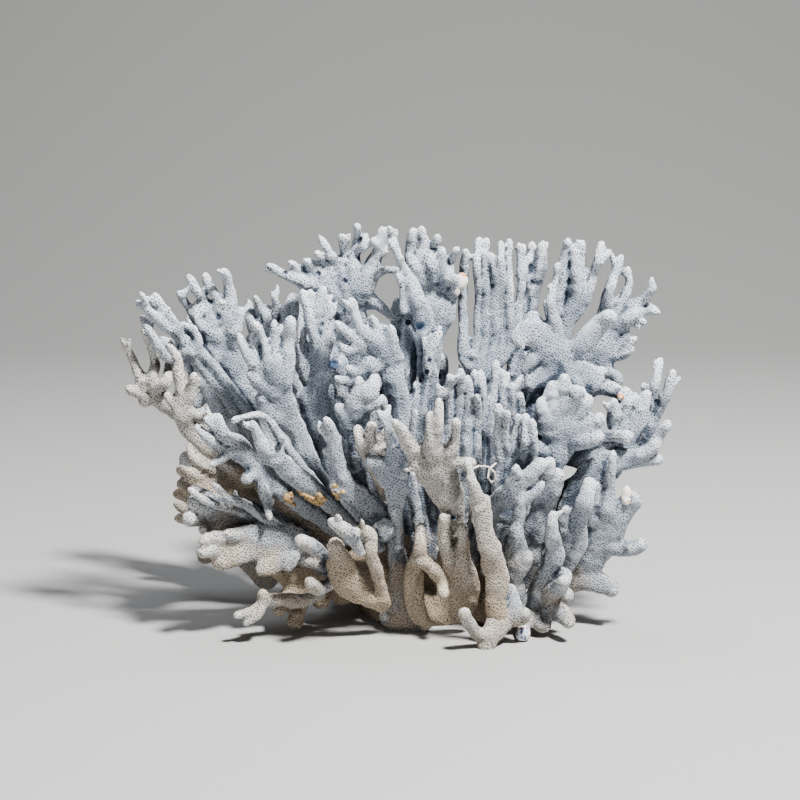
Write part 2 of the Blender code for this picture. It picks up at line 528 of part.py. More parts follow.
# The holdfast that everything grew from: centre, then half sizes of each swelling
HOLDFAST_SWELLINGS = (
    ((30, 12, 8), (66, 52, 32)),
    ((-16, 10, 42), (46, 42, 34)),
    ((62, 6, 40), (50, 44, 36)),
    ((24, 18, 62), (58, 40, 36)),
    ((-34, -14, 44), (32, 28, 22)),
    ((84, -24, 20), (32, 30, 25)),
    ((20, 36, 28), (66, 42, 30)),
    ((-4, -18, 14), (20, 22, 20)),
)


def spine(path, step):
    """Even steps along a smooth path through points of (place, half width)."""
    out = []
    for i in range(len(path) - 1):
        before = path[max(i - 1, 0)]
        start, end = path[i], path[i + 1]
        after = path[min(i + 2, len(path) - 1)]
        count = max(1, round((end[0] - start[0]).length / step))
        for k in range(count):
            t = k / count
            bend = (end[0] - before[0]) * 0.5
            lead = (after[0] - start[0]) * 0.5
            place = (start[0] * (2 * t**3 - 3 * t**2 + 1) + bend * (t**3 - 2 * t**2 + t)
                     + end[0] * (3 * t**2 - 2 * t**3) + lead * (t**3 - t**2))
            out.append((place, start[1] + (end[1] - start[1]) * t))
    out.append(path[-1])
    return out


def reach(tree, start=0.0):
    """The longest way from a fork to a tip."""
    far = start
    for shoot in tree["shoots"]:
        far = max(far, reach(shoot, start + math.hypot(shoot["x"] - tree["x"], shoot["z"] - tree["z"])))
    return far


def strands(piece, dice):
    """Every stretch of a frond from a fork to the tip beyond it, as points of (place, half width)."""
    whole = max(reach(piece["tree"]), 1.0)
    found = []

    def climb(tree, trail, gone, fresh):
        share = gone / whole
        wander = dice.uniform(-1, 1) * TIP_WANDER * share * share
        depth = piece["root_y"] + (piece["tip_y"] - piece["root_y"]) * share + tree["dy"] + wander
        trail = trail + [(Vector((tree["x"], depth, tree["z"])), float(tree["r"]))]
        if not tree["shoots"]:
            found.append((trail, fresh))
            return
        for number, shoot in enumerate(tree["shoots"]):
            step = math.hypot(shoot["x"] - tree["x"], shoot["z"] - tree["z"])
            climb(shoot, trail, gone + step, fresh if number == 0 else len(trail) - 1)

    climb(piece["tree"], [], 0.0, 0)
    return found


def add_lump(bm, place, along, face, sizes):
    """One flattened lump: half width across, half length along the strand, half thickness through the blade."""
    along = along.normalized()
    through = face - along * face.dot(along)
    if through.length < 0.2:
        through = along.cross(Vector((1, 0, 0)))
    through.normalize()
    across = along.cross(through)
    turn = Matrix((across, along, through)).transposed().to_4x4()
    turn.translation = place
    stretch = Matrix.Diagonal((sizes[0], sizes[1], sizes[2], 1))
    bmesh.ops.create_icosphere(bm, subdivisions=2, radius=1.0, matrix=turn @ stretch)


def frond_lumps(bm, piece, dice):
    for trail, fresh in strands(piece, dice):
        steps = spine(trail[max(fresh - 1, 0):], LUMP_SPACING)
        skip = 0
        if fresh > 0:
            lead = (trail[fresh][0] - trail[fresh - 1][0]).length
            skip = max(1, round(lead / LUMP_SPACING))
        for i in range(skip, len(steps)):
            place, r = steps[i]
            back = steps[max(i - 1, 0)][0]
            ahead = steps[min(i + 1, len(steps) - 1)][0]
            thin = min(r, piece["thick"])
            add_lump(bm, place, ahead - back, piece["face"], (r, max(r * 0.95, LUMP_SPACING), thin))


def tips(tree):
    return 1 if not tree["shoots"] else sum(tips(shoot) for shoot in tree["shoots"])


def apply_modifiers(obj):
    graph = bpy.context.evaluated_depsgraph_get()
    graph.update()
    done = bpy.data.meshes.new_from_object(obj.evaluated_get(graph), depsgraph=graph)
    old = obj.data
    obj.modifiers.clear()
    obj.data = done
    bpy.data.meshes.remove(old)


def keep_largest(obj):
    """Only the largest separate lump stays, so that a frond is one piece."""
    bm = bmesh.new()
    bm.from_mesh(obj.data)
    bm.verts.ensure_lookup_table()
    left = set(bm.verts)
    groups = []
    while left:
        seed = min(left, key=lambda v: v.index)
        group = {seed}
        edge = [seed]
        while edge:
            v = edge.pop()
            for e in v.link_edges:
                other = e.other_vert(v)
                if other not in group:
                    group.add(other)
                    edge.append(other)
        left -= group
        groups.append(group)
    if len(groups) > 1:
        groups.sort(key=lambda g: (-size_of(g), min(v.index for v in g)))
        for group in groups[1:]:
            bmesh.ops.delete(bm, geom=sorted(group, key=lambda v: v.index), context="VERTS")
    bm.to_mesh(obj.data)
    bm.free()


def size_of(group):
    low = [min(v.co[i] for v in group) for i in range(3)]
    high = [max(v.co[i] for v in group) for i in range(3)]
    return math.dist(low, high)


def fuse(name, bm, triangles):
    """The lumps become one closed skin of about so many triangles."""
    mesh = bpy.data.meshes.new(name)
    bmesh.ops.scale(bm, vec=(MM, MM, MM), verts=bm.verts)
    bm.to_mesh(mesh)
    bm.free()
    obj = bpy.data.objects.new(name, mesh)
    bpy.context.collection.objects.link(obj)
    skin = obj.modifiers.new("skin", "REMESH")
    skin.mode = "VOXEL"
    skin.voxel_size = GRID * MM
    even = obj.modifiers.new("even", "SMOOTH")
    even.factor = 0.5
    even.iterations = 2
    apply_modifiers(obj)
    keep_largest(obj)
    thin = obj.modifiers.new("thin", "DECIMATE")
    thin.decimate_type = "COLLAPSE"
    thin.ratio = min(1.0, triangles / max(1, sum(len(f.vertices) - 2 for f in obj.data.polygons)))
    thin.use_collapse_triangulate = True
    apply_modifiers(obj)
    return obj


def boxes_touch(a, b, slack=0.001):
    for i in range(3):
        if max(v.co[i] for v in a.vertices) + slack < min(v.co[i] for v in b.vertices):
            return False
        if max(v.co[i] for v in b.vertices) + slack < min(v.co[i] for v in a.vertices):
            return False
    return True


def surfaces_cross(a, b):
    trees = []
    for obj in (a, b):
        bm = bmesh.new()
        bm.from_mesh(obj.data)
        trees.append(BVHTree.FromBMesh(bm))
        bm.free()
    return bool(trees[0].overlap(trees[1]))


def cut_by(obj, other, gap):
    """What another piece takes up, and a little more all round, is taken out of this one."""
    mesh = other.data.copy()
    for vertex in mesh.vertices:
        vertex.co = vertex.co + Vector(vertex.normal) * gap * MM
    cutter = bpy.data.objects.new("cutter", mesh)
    cutter.hide_render = True
    cutter.display_type = "WIRE"
    bpy.context.collection.objects.link(cutter)
    cut = obj.modifiers.new("cut", "BOOLEAN")
    cut.operation = "DIFFERENCE"
    cut.solver = "EXACT"
    cut.object = cutter
    apply_modifiers(obj)
    bpy.data.objects.remove(cutter)
    keep_largest(obj)


def trim_floor(obj):
    """Sawn off flat at the floor."""
    bm = bmesh.new()
    bm.from_mesh(obj.data)
    if min(v.co.z for v in bm.verts) < 0.0:
        both = bm.verts[:] + bm.edges[:] + bm.faces[:]
        cut = bmesh.ops.bisect_plane(bm, geom=both, dist=1e-6, plane_co=(0, 0, 0), plane_no=(0, 0, -1),
                                     clear_outer=True)
        rim = [e for e in cut["geom_cut"] if isinstance(e, bmesh.types.BMEdge)]
        bmesh.ops.holes_fill(bm, edges=rim, sides=0)
        bmesh.ops.triangulate(bm, faces=bm.faces[:])
    bm.to_mesh(obj.data)
    bm.free()
    keep_largest(obj)


def tidy(obj):
    """Slivers left by the cuts are closed up, as far as the skin stays closed."""
    for reach_mm in (0.08, 0.03, 0.0):
        bm = bmesh.new()
        bm.from_mesh(obj.data)
        if reach_mm:
            bmesh.ops.remove_doubles(bm, verts=bm.verts[:], dist=reach_mm * MM)
            bmesh.ops.dissolve_degenerate(bm, edges=bm.edges[:], dist=reach_mm * MM)
        bmesh.ops.triangulate(bm, faces=bm.faces[:])
        if all(e.is_manifold for e in bm.edges) or not reach_mm:
            bm.to_mesh(obj.data)
            bm.free()
            return
        bm.free()


def paint(obj, shade):
    material = bpy.data.materials.new(obj.name)
    material.use_nodes = True
    skin = material.node_tree.nodes["Principled BSDF"]
    skin.inputs["Base Color"].default_value = (*SHADES[shade], 1.0)
    skin.inputs["Roughness"].default_value = 0.9
    obj.data.materials.clear()
    obj.data.materials.append(material)


def build_holdfast():
    bm = bmesh.new()
    for centre, half in HOLDFAST_SWELLINGS:
        place = Matrix.Translation(centre) @ Matrix.Diagonal((*half, 1))
        bmesh.ops.create_icosphere(bm, subdivisions=4, radius=1.0, matrix=place)
    obj = fuse("holdfast", bm, HOLDFAST_TRIANGLES)
    trim_floor(obj)
    return obj


def turned(tree, width, height):
    """The same frond seen from behind, wider or taller."""
    return fork(-tree["x"] * width, tree["z"] * height, tree["r"],
                *(turned(shoot, width, height) for shoot in tree["shoots"]), dy=-tree["dy"])


def main():
    for old in list(bpy.data.objects):
        bpy.data.objects.remove(old)
    whole = dict(FRONDS)
    for name, (like, width, height, root_y, tip_y) in BACK.items():
        shade, pieces = FRONDS[like]
        whole[name] = (shade, [frond(root_y, tip_y, turned(piece["tree"], width, height), piece["thick"],
                                     -piece["face"]) for piece in pieces])
    done = [build_holdfast()]
    paint(done[0], "base")
    # The foremost pieces keep their whole shape; what stands behind is cut round them
    order = sorted(whole, key=lambda name: -max(abs(piece["tip_y"]) for piece in whole[name][1]))
    for name in order:
        shade, pieces = whole[name]
        dice = random.Random(name)
        bm = bmesh.new()
        for piece in pieces:
            frond_lumps(bm, piece, dice)
        count = TRIANGLES_PER_FROND + TRIANGLES_PER_SHOOT * sum(tips(piece["tree"]) for piece in pieces)
        obj = fuse(name, bm, count)
        trim_floor(obj)
        for other in done:
            if boxes_touch(obj.data, other.data) and surfaces_cross(obj, other):
                cut_by(obj, other, CUT_GAP)
        tidy(obj)
        paint(obj, shade)
        done.append(obj)


main()
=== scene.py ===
"""A dense cluster of blue coral, cut off flat underneath: the finished look of every frond.

Places and sizes in the drawings of the fronds are in millimetres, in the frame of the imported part: +X to the
right, +Y away from the front, +Z up, and the origin on the flat cut underneath.
"""

import math
import random

import bmesh
import bpy
from mathutils import Matrix, Vector, noise
from mathutils.bvhtree import BVHTree
from mathutils.kdtree import KDTree


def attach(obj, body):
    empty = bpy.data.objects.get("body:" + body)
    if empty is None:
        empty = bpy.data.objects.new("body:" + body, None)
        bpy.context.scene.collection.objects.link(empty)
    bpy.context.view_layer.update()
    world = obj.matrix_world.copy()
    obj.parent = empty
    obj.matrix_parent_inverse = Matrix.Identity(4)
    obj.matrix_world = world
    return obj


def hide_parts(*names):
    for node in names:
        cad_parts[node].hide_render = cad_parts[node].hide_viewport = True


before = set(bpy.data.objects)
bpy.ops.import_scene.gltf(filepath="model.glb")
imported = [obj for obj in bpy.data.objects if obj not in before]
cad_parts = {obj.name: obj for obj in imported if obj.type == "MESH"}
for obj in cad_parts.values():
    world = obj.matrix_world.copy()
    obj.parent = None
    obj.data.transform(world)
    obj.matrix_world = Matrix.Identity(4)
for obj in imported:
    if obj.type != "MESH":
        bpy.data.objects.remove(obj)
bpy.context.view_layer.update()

# View and light
# The cluster is seen from straight in front and a little above, from a metre and a half away, on a plain pale
# floor, in a studio light that comes mostly from the upper right.
VIEW_HEIGHT = math.radians(10)
VIEW_DISTANCE = 1.548
VIEW_CENTRE = Vector((0.0029, 0.0, 0.182))
FIELD_OF_VIEW = math.radians(24)
FLOOR_REACH = 3.0            # how far the pale floor runs to each side before it curves up behind

camera = bpy.data.objects.new("camera", bpy.data.cameras.new("camera"))
bpy.context.collection.objects.link(camera)
camera.location = VIEW_CENTRE + VIEW_DISTANCE * Vector((0, -math.cos(VIEW_HEIGHT), math.sin(VIEW_HEIGHT)))
camera.rotation_euler = (VIEW_CENTRE - camera.location).to_track_quat("-Z", "Y").to_euler()
camera.data.sensor_width = 36
camera.data.lens = 18 / math.tan(FIELD_OF_VIEW / 2)
bpy.context.scene.camera = camera


def soft_light(name, place, size, watts, colour):
    lamp = bpy.data.lights.new(name, "AREA")
    lamp.shape = "DISK"
    lamp.size = size
    lamp.energy = watts
    lamp.color = colour
    obj = bpy.data.objects.new(name, lamp)
    obj.location = place
    obj.rotation_euler = (VIEW_CENTRE - obj.location).to_track_quat("-Z", "Y").to_euler()
    bpy.context.collection.objects.link(obj)


soft_light("key", Vector((0.75, -0.95, 2.0)), 0.32, 262, (1.0, 0.985, 0.96))
soft_light("fill", Vector((-1.4, -1.6, 0.9)), 1.2, 5, (0.93, 0.96, 1.0))
soft_light("top", Vector((-0.3, 0.5, 1.9)), 0.8, 20, (0.95, 0.97, 1.0))

world = bpy.data.worlds.new("studio")
world.use_nodes = True
world.node_tree.nodes["Background"].inputs["Color"].default_value = (0.66, 0.67, 0.68, 1)
world.node_tree.nodes["Background"].inputs["Strength"].default_value = 0.04
bpy.context.scene.world = world

bm = bmesh.new()
bmesh.ops.create_grid(bm, x_segments=1, y_segments=1, size=FLOOR_REACH)
back = max(bm.edges, key=lambda edge: edge.verts[0].co.y + edge.verts[1].co.y)
raised = bmesh.ops.extrude_edge_only(bm, edges=[back])["geom"]
raised = [corner for corner in raised if isinstance(corner, bmesh.types.BMVert)]
bmesh.ops.translate(bm, vec=(0, 0, FLOOR_REACH), verts=raised)
bmesh.ops.bevel(bm, geom=[back], offset=FLOOR_REACH * 0.5, segments=24, profile=0.5, affect="EDGES",
                material=-1)
for face in bm.faces:
    face.smooth = True
floor = bpy.data.objects.new("floor", bpy.data.meshes.new("floor"))
bm.to_mesh(floor.data)
bm.free()
bpy.context.collection.objects.link(floor)
plain = bpy.data.materials.new("plain_floor")
plain.use_nodes = True
plain.node_tree.nodes["Principled BSDF"].inputs["Base Color"].default_value = (0.30, 0.30, 0.30, 1)
plain.node_tree.nodes["Principled BSDF"].inputs["Roughness"].default_value = 0.8
floor.data.materials.append(plain)


# Holdfast
# The lumpy foot that the whole cluster grew from, sawn off its rock, so that it is flat underneath. It is
# rough, set with stumps of fingers that never grew out, and stained grey brown; its colours are also painted
# darker than the fronds' as painted shade, for the hollow under the fronds that it stands in.
MM = 0.001
HOLDFAST_SWELLINGS = (
    ((30, 12, 8), (66, 52, 32)),
    ((-16, 10, 42), (46, 42, 34)),
    ((62, 6, 40), (50, 44, 36)),
    ((24, 18, 62), (58, 40, 36)),
    ((-34, -14, 44), (32, 28, 22)),
    ((84, -24, 20), (32, 30, 25)),
    ((20, 36, 28), (66, 42, 30)),
    ((-4, -18, 14), (20, 22, 20)),
)
HOLDFAST_MIDDLE = Vector((8, 8, 26))
STUMPS = 130                 # how many places are tried for a stump
STUMP_RING = (100, 90)       # half widths of the ring from which the places are found, looking inwards
STUMP_SPAN = (-28, 60)       # how far that ring lies below and above the middle
STUMP_PLACES = (0.006, 0.07, 0.01)  # lowest, highest and foremost in metres, as the front is left hollow
STUMP_LEAN = Vector((0, 0, 0.35))   # stumps point away from the middle and a little up
HOLDFAST_SWELL = 2.2         # height of the lumps on the holdfast
SKIN_GRID = 1.5              # size of the cells in which lumps fuse into one skin
COARSE_GRID = 1.8            # the same for what stands behind, inside or low, where less is seen
LUMP_SWELL = 0.9             # height of the soft lumps on the skin
PORES_PER_METRE = 470
PORE_HALF_WIDTH = 0.0005
PORE_SCATTER = 0.6           # 0 is an even grid of pores, 1 quite irregular
PORE_ROWS_TURN = 0.52        # radians that the rows of pores are turned
PORE_COLOUR = (0.012, 0.017, 0.027)
SILT_LINE = 0.17             # height in metres below which silt has stained the coral more and more
SILT_TILT = 0.22             # the silt lay higher on the left side
SILT_TINT = (1.0, 0.90, 0.77)
BLUE_INSIDE = (0.07, 0.12, 0.22)    # the colour of a fresh break
# The nearly black of a bored hole is painted shade, for the depth that its shallow dent lacks.
HOLE_SHADE = (0.015, 0.018, 0.025)


def group_sockets(group, inputs, outputs):
    for name, kind, value in inputs:
        socket = group.interface.new_socket(name, in_out="INPUT", socket_type=kind)
        socket.default_value = value
    for name, kind in outputs:
        group.interface.new_socket(name, in_out="OUTPUT", socket_type=kind)
    return group.nodes.new("NodeGroupInput"), group.nodes.new("NodeGroupOutput")


def ramp(tree, value, low, high, bottom=0.0, top=1.0):
    """A value eased from bottom to top between low and high."""
    node = tree.nodes.new("ShaderNodeMapRange")
    node.interpolation_type = "SMOOTHSTEP"
    node.inputs["From Min"].default_value = low
    node.inputs["From Max"].default_value = high
    node.inputs["To Min"].default_value = bottom
    node.inputs["To Max"].default_value = top
    tree.links.new(value, node.inputs["Value"])
    return node.outputs["Result"]


def maths(tree, operation, a, b):
    node = tree.nodes.new("ShaderNodeMath")
    node.operation = operation
    for socket, value in zip(node.inputs, (a, b)):
        if isinstance(value, (int, float)):
            socket.default_value = value
        else:
            tree.links.new(value, socket)
    return node.outputs[0]


def vector_maths(tree, operation, a, b=None):
    node = tree.nodes.new("ShaderNodeVectorMath")
    node.operation = operation
    tree.links.new(a, node.inputs[0])
    if isinstance(b, tuple):
        node.inputs[1].default_value = b
    elif b is not None:
        tree.links.new(b, node.inputs[1])
    return node.outputs["Value" if operation == "DOT_PRODUCT" else "Vector"]


def blend_colour(tree, share, below, above, way="MIX"):
    node = tree.nodes.new("ShaderNodeMix")
    node.data_type = "RGBA"
    node.blend_type = way
    tree.links.new(share, node.inputs[0])
    for socket, value in ((node.inputs[6], below), (node.inputs[7], above)):
        if isinstance(value, tuple):
            socket.default_value = (*value, 1)
        else:
            tree.links.new(value, socket)
    return node.outputs[2]


def cloud(tree, where, per_metre, detail=2.0, roughness=0.5):
    node = tree.nodes.new("ShaderNodeTexNoise")
    node.inputs["Scale"].default_value = per_metre
    node.inputs["Detail"].default_value = detail
    node.inputs["Roughness"].default_value = roughness
    tree.links.new(where, node.inputs["Vector"])
    return node.outputs["Fac"]


def pore_group():
    """The round pores that the polyps left: small dark holes in wandering rows, missing where skin overgrew
    them. Each way that the surface can face has its own flat pattern of them."""
    group = bpy.data.node_groups.new("pores", "ShaderNodeTree")
    inside, outside = group_sockets(
        group,
        (("Where", "NodeSocketVector", (0, 0, 0)), ("Per metre", "NodeSocketFloat", PORES_PER_METRE),
         ("Half width", "NodeSocketFloat", PORE_HALF_WIDTH), ("Overgrown", "NodeSocketFloat", 0.3)),
        (("Pore", "NodeSocketFloat"), ("Dimple", "NodeSocketFloat")))
    where = inside.outputs["Where"]
    drift = group.nodes.new("ShaderNodeTexNoise")
    drift.inputs["Scale"].default_value = 70
    drift.inputs["Detail"].default_value = 1
    group.links.new(where, drift.inputs["Vector"])
    strayed = vector_maths(group, "MULTIPLY", drift.outputs["Color"], (0.008, 0.008, 0.008))
    apart = group.nodes.new("ShaderNodeSeparateXYZ")
    group.links.new(vector_maths(group, "ADD", where, strayed), apart.inputs["Vector"])
    facing = group.nodes.new("ShaderNodeSeparateXYZ")
    normal = vector_maths(group, "ABSOLUTE", group.nodes.new("ShaderNodeNewGeometry").outputs["Normal"])
    group.links.new(normal, facing.inputs["Vector"])
    half = maths(group, "MULTIPLY", inside.outputs["Half width"], inside.outputs["Per metre"])
    hole = dimple = 0.0
    for axis, (across, up) in (("X", "YZ"), ("Y", "XZ"), ("Z", "XY")):
        flat = group.nodes.new("ShaderNodeCombineXYZ")
        group.links.new(apart.outputs[across], flat.inputs["X"])
        group.links.new(apart.outputs[up], flat.inputs["Y"])
        cells = group.nodes.new("ShaderNodeTexVoronoi")
        cells.voronoi_dimensions = "2D"
        cells.inputs["Randomness"].default_value = PORE_SCATTER
        askew = group.nodes.new("ShaderNodeMapping")
        askew.inputs["Rotation"].default_value[2] = PORE_ROWS_TURN
        group.links.new(flat.outputs["Vector"], askew.inputs["Vector"])
        group.links.new(askew.outputs["Vector"], cells.inputs["Vector"])
        group.links.new(inside.outputs["Per metre"], cells.inputs["Scale"])
        share = maths(group, "DIVIDE", cells.outputs["Distance"], half)
        others = maths(group, "MAXIMUM", facing.outputs[across], facing.outputs[up])
        mine = maths(group, "GREATER_THAN", facing.outputs[axis], others)
        inner = ramp(group, share, 0.8, 1.1, 1.0, 0.0)
        outer = ramp(group, share, 0.6, 1.7, 1.0, 0.0)
        hole = maths(group, "ADD", hole, maths(group, "MULTIPLY", mine, inner))
        dimple = maths(group, "ADD", dimple, maths(group, "MULTIPLY", mine, outer))
    patches = cloud(group, where, 38, 1.0)
    cover = ramp(group, maths(group, "SUBTRACT", patches, inside.outputs["Overgrown"]), -0.05, 0.08)
    group.links.new(maths(group, "MULTIPLY", hole, cover), outside.inputs["Pore"])
    group.links.new(maths(group, "MULTIPLY", dimple, cover), outside.inputs["Dimple"])
    return group


def grain_group():
    """The chalky grain of old coral: fine grit over shallow hollows, as a height."""
    group = bpy.data.node_groups.new("chalky_grain", "ShaderNodeTree")
    inside, outside = group_sockets(group, (("Where", "NodeSocketVector", (0, 0, 0)),),
                                    (("Height", "NodeSocketFloat"), ("Mottle", "NodeSocketFloat")))
    grit = cloud(group, inside.outputs["Where"], 1500, 2.0, 0.6)
    hollows = cloud(group, inside.outputs["Where"], 260, 3.0, 0.6)
    mottle = cloud(group, inside.outputs["Where"], 70, 4.0, 0.62)
    grit, hollows = maths(group, "MULTIPLY", grit, 0.35), maths(group, "MULTIPLY", hollows, 0.65)
    height = maths(group, "ADD", grit, hollows)
    group.links.new(height, outside.inputs["Height"])
    group.links.new(mottle, outside.inputs["Mottle"])
    return group


PORES = pore_group()
GRAIN = grain_group()


def new_skin(name, roughness, shine=0.5):
    """A plain material, with its node tree, its shader and the places on its piece."""
    material = bpy.data.materials.new(name)
    material.use_nodes = True
    tree = material.node_tree
    skin = tree.nodes["Principled BSDF"]
    skin.inputs["Roughness"].default_value = roughness
    skin.inputs["Specular IOR Level"].default_value = shine
    return material, tree, skin, tree.nodes.new("ShaderNodeTexCoord").outputs["Object"]


def written(tree, attribute):
    """A share that is written on the points of the mesh."""
    node = tree.nodes.new("ShaderNodeAttribute")
    node.attribute_name = attribute
    return node.outputs["Fac"]


CORAL_SKINS = {}             # by the name of the slot that each one fills


def coral_skin(name, deep, body, tip, stain, overgrown):
    """Old coral, paler at its tips, with silt, pores and a chalky grain. Painted shade darkens it towards deep
    at the root of each strand, in recesses that other branches close off and in creases; a painted highlight
    lightens its ridges.
    """
    material, tree, skin, where = new_skin(name, 0.86, 0.22)
    pores = tree.nodes.new("ShaderNodeGroup")
    pores.node_tree = PORES
    pores.inputs["Overgrown"].default_value = overgrown
    tree.links.new(where, pores.inputs["Where"])
    grain = tree.nodes.new("ShaderNodeGroup")
    grain.node_tree = GRAIN
    tree.links.new(where, grain.inputs["Where"])

    edges = tree.nodes.new("ShaderNodeNewGeometry").outputs["Pointiness"]
    mottle = maths(tree, "MULTIPLY", grain.outputs["Mottle"], 0.5)
    grown = maths(tree, "ADD", written(tree, "growth"), mottle)
    # Painted shade: each strand is darkened a quarter of the way to deep towards its root. Its tips are paler
    # in their own colour.
    colour = blend_colour(tree, ramp(tree, grown, 0.1, 0.5, 0.75, 1.0), deep, body)
    colour = blend_colour(tree, ramp(tree, grown, 0.95, 1.45), colour, tip)
    # Painted shade: dark where other branches close off the spot.
    colour = blend_colour(tree, ramp(tree, written(tree, "sheltered"), 0.04, 0.5, 0.0, 0.95), colour, deep)
    # Painted shade in the creases of the mesh, from its pointiness.
    colour = blend_colour(tree, ramp(tree, edges, 0.499, 0.455), colour, deep)
    # Painted highlight on the ridges of the mesh.
    colour = blend_colour(tree, ramp(tree, edges, 0.508, 0.56, 0.0, 0.8), colour, tip)

    apart = tree.nodes.new("ShaderNodeSeparateXYZ")
    tree.links.new(where, apart.inputs["Vector"])
    height = maths(tree, "ADD", apart.outputs["Z"], maths(tree, "MULTIPLY", apart.outputs["X"], SILT_TILT))
    patches = cloud(tree, where, 32, 5.0, 0.62)
    silt = maths(tree, "ADD", patches, ramp(tree, height, SILT_LINE, 0.0, 0.0, 0.42))
    silt = maths(tree, "ADD", silt, written(tree, "stain"))
    colour = blend_colour(tree, ramp(tree, silt, 0.66, 1.06), colour, stain)
    yellowed = ramp(tree, height, SILT_LINE * 1.35, 0.02, 0.0, 0.75)
    colour = blend_colour(tree, yellowed, colour, SILT_TINT, "MULTIPLY")
    colour = blend_colour(tree, maths(tree, "MULTIPLY", pores.outputs["Pore"], 0.93), colour, PORE_COLOUR)
    broken = written(tree, "broken")
    colour = blend_colour(tree, ramp(tree, broken, 0.1, 0.3, 0.0, 0.75), colour, BLUE_INSIDE)
    # Painted shade: a bored hole is painted nearly black.
    colour = blend_colour(tree, ramp(tree, broken, 0.5, 0.9), colour, HOLE_SHADE)
    tree.links.new(colour, skin.inputs["Base Color"])

    grit = maths(tree, "MULTIPLY", grain.outputs["Height"], 0.55)
    relief = maths(tree, "SUBTRACT", grit, pores.outputs["Dimple"])
    bump = tree.nodes.new("ShaderNodeBump")
    bump.inputs["Strength"].default_value = 0.8
    bump.inputs["Distance"].default_value = 0.0005
    tree.links.new(relief, bump.inputs["Height"])
    tree.links.new(bump.outputs["Normal"], skin.inputs["Normal"])
    CORAL_SKINS[name] = material


# Painted shade: the holdfast's colours are darker than the fronds', for the shadow of the hollow that it
# stands in.
coral_skin("holdfast_coral", deep=(0.045, 0.038, 0.032), body=(0.27, 0.25, 0.225), tip=(0.48, 0.45, 0.41),
           stain=(0.20, 0.165, 0.125), overgrown=0.34)


def round_lump():
    """The one round lump that every strand and swelling is strung together from."""
    bm = bmesh.new()
    bmesh.ops.create_icosphere(bm, subdivisions=2, radius=1.0)
    lump = bpy.data.meshes.new("lump")
    bm.to_mesh(lump)
    bm.free()
    return lump


LUMP = round_lump()


def new_lumps():
    return {"mesh": bmesh.new(), "places": [], "growth": [], "stain": []}


def add_lump(lumps, place, along, face, sizes, growth, stain):
    """One flattened lump. Sizes are half its width across, half its length along the strand and half its
    thickness through the blade; growth and stain are what its part of the skin is given."""
    along = along.normalized()
    through = face - along * face.dot(along)
    if through.length < 0.2:
        through = along.cross(Vector((1, 0, 0)))
    through.normalize()
    turn = Matrix((along.cross(through), along, through)).transposed().to_4x4()
    turn.translation = place
    lump = LUMP.copy()
    lump.transform(turn @ Matrix.Diagonal((*sizes, 1)))
    lumps["mesh"].from_mesh(lump)
    bpy.data.meshes.remove(lump)
    lumps["places"].append(place * MM)
    lumps["growth"].append(growth)
    lumps["stain"].append(stain)


def solid_surfaces():
    """Every solid of the coral as one surface to look out through."""
    points, faces = [], []
    for node in [o for o in bpy.data.objects if o.type == "MESH"]:
        first = len(points)
        points += [node.matrix_world @ vertex.co for vertex in node.data.vertices]
        faces += [[first + corner for corner in face.vertices] for face in node.data.polygons]
    return BVHTree.FromPolygons(points, faces)


SOLID_SURFACES = solid_surfaces()
# How closed off each spot is sets the painted shade in the coral's colour.
OCCLUSION_REACH = 0.045        # metres; how near another branch must be to shelter a spot
OCCLUSION_START = 0.0035       # metres off the skin, clear of the solid that it covers


def occlusion_at(place, normal):
    """How far the branches around close off a spot of the skin, from 0 in the open to 1 deep in a recess; the
    skin is painted darker by it, as painted shade.
    """
    side = normal.orthogonal().normalized()
    other = normal.cross(side)
    start = place + normal * OCCLUSION_START
    ways = (normal, normal + side, normal - side, normal + other, normal - other)
    closed = 0.0
    for way in ways:
        _, wall, _, gone = SOLID_SURFACES.ray_cast(start, way.normalized(), OCCLUSION_REACH)
        if wall is not None and wall.dot(way) < 0.0:
            closed += (1.0 - gone / OCCLUSION_REACH) / len(ways)
    return closed


def set_down(place, sunk):
    """The point of the coral nearest to a place, sunk a little below its surface."""
    spot, normal, _, _ = SOLID_SURFACES.find_nearest(place * MM)
    return spot / MM - normal * sunk


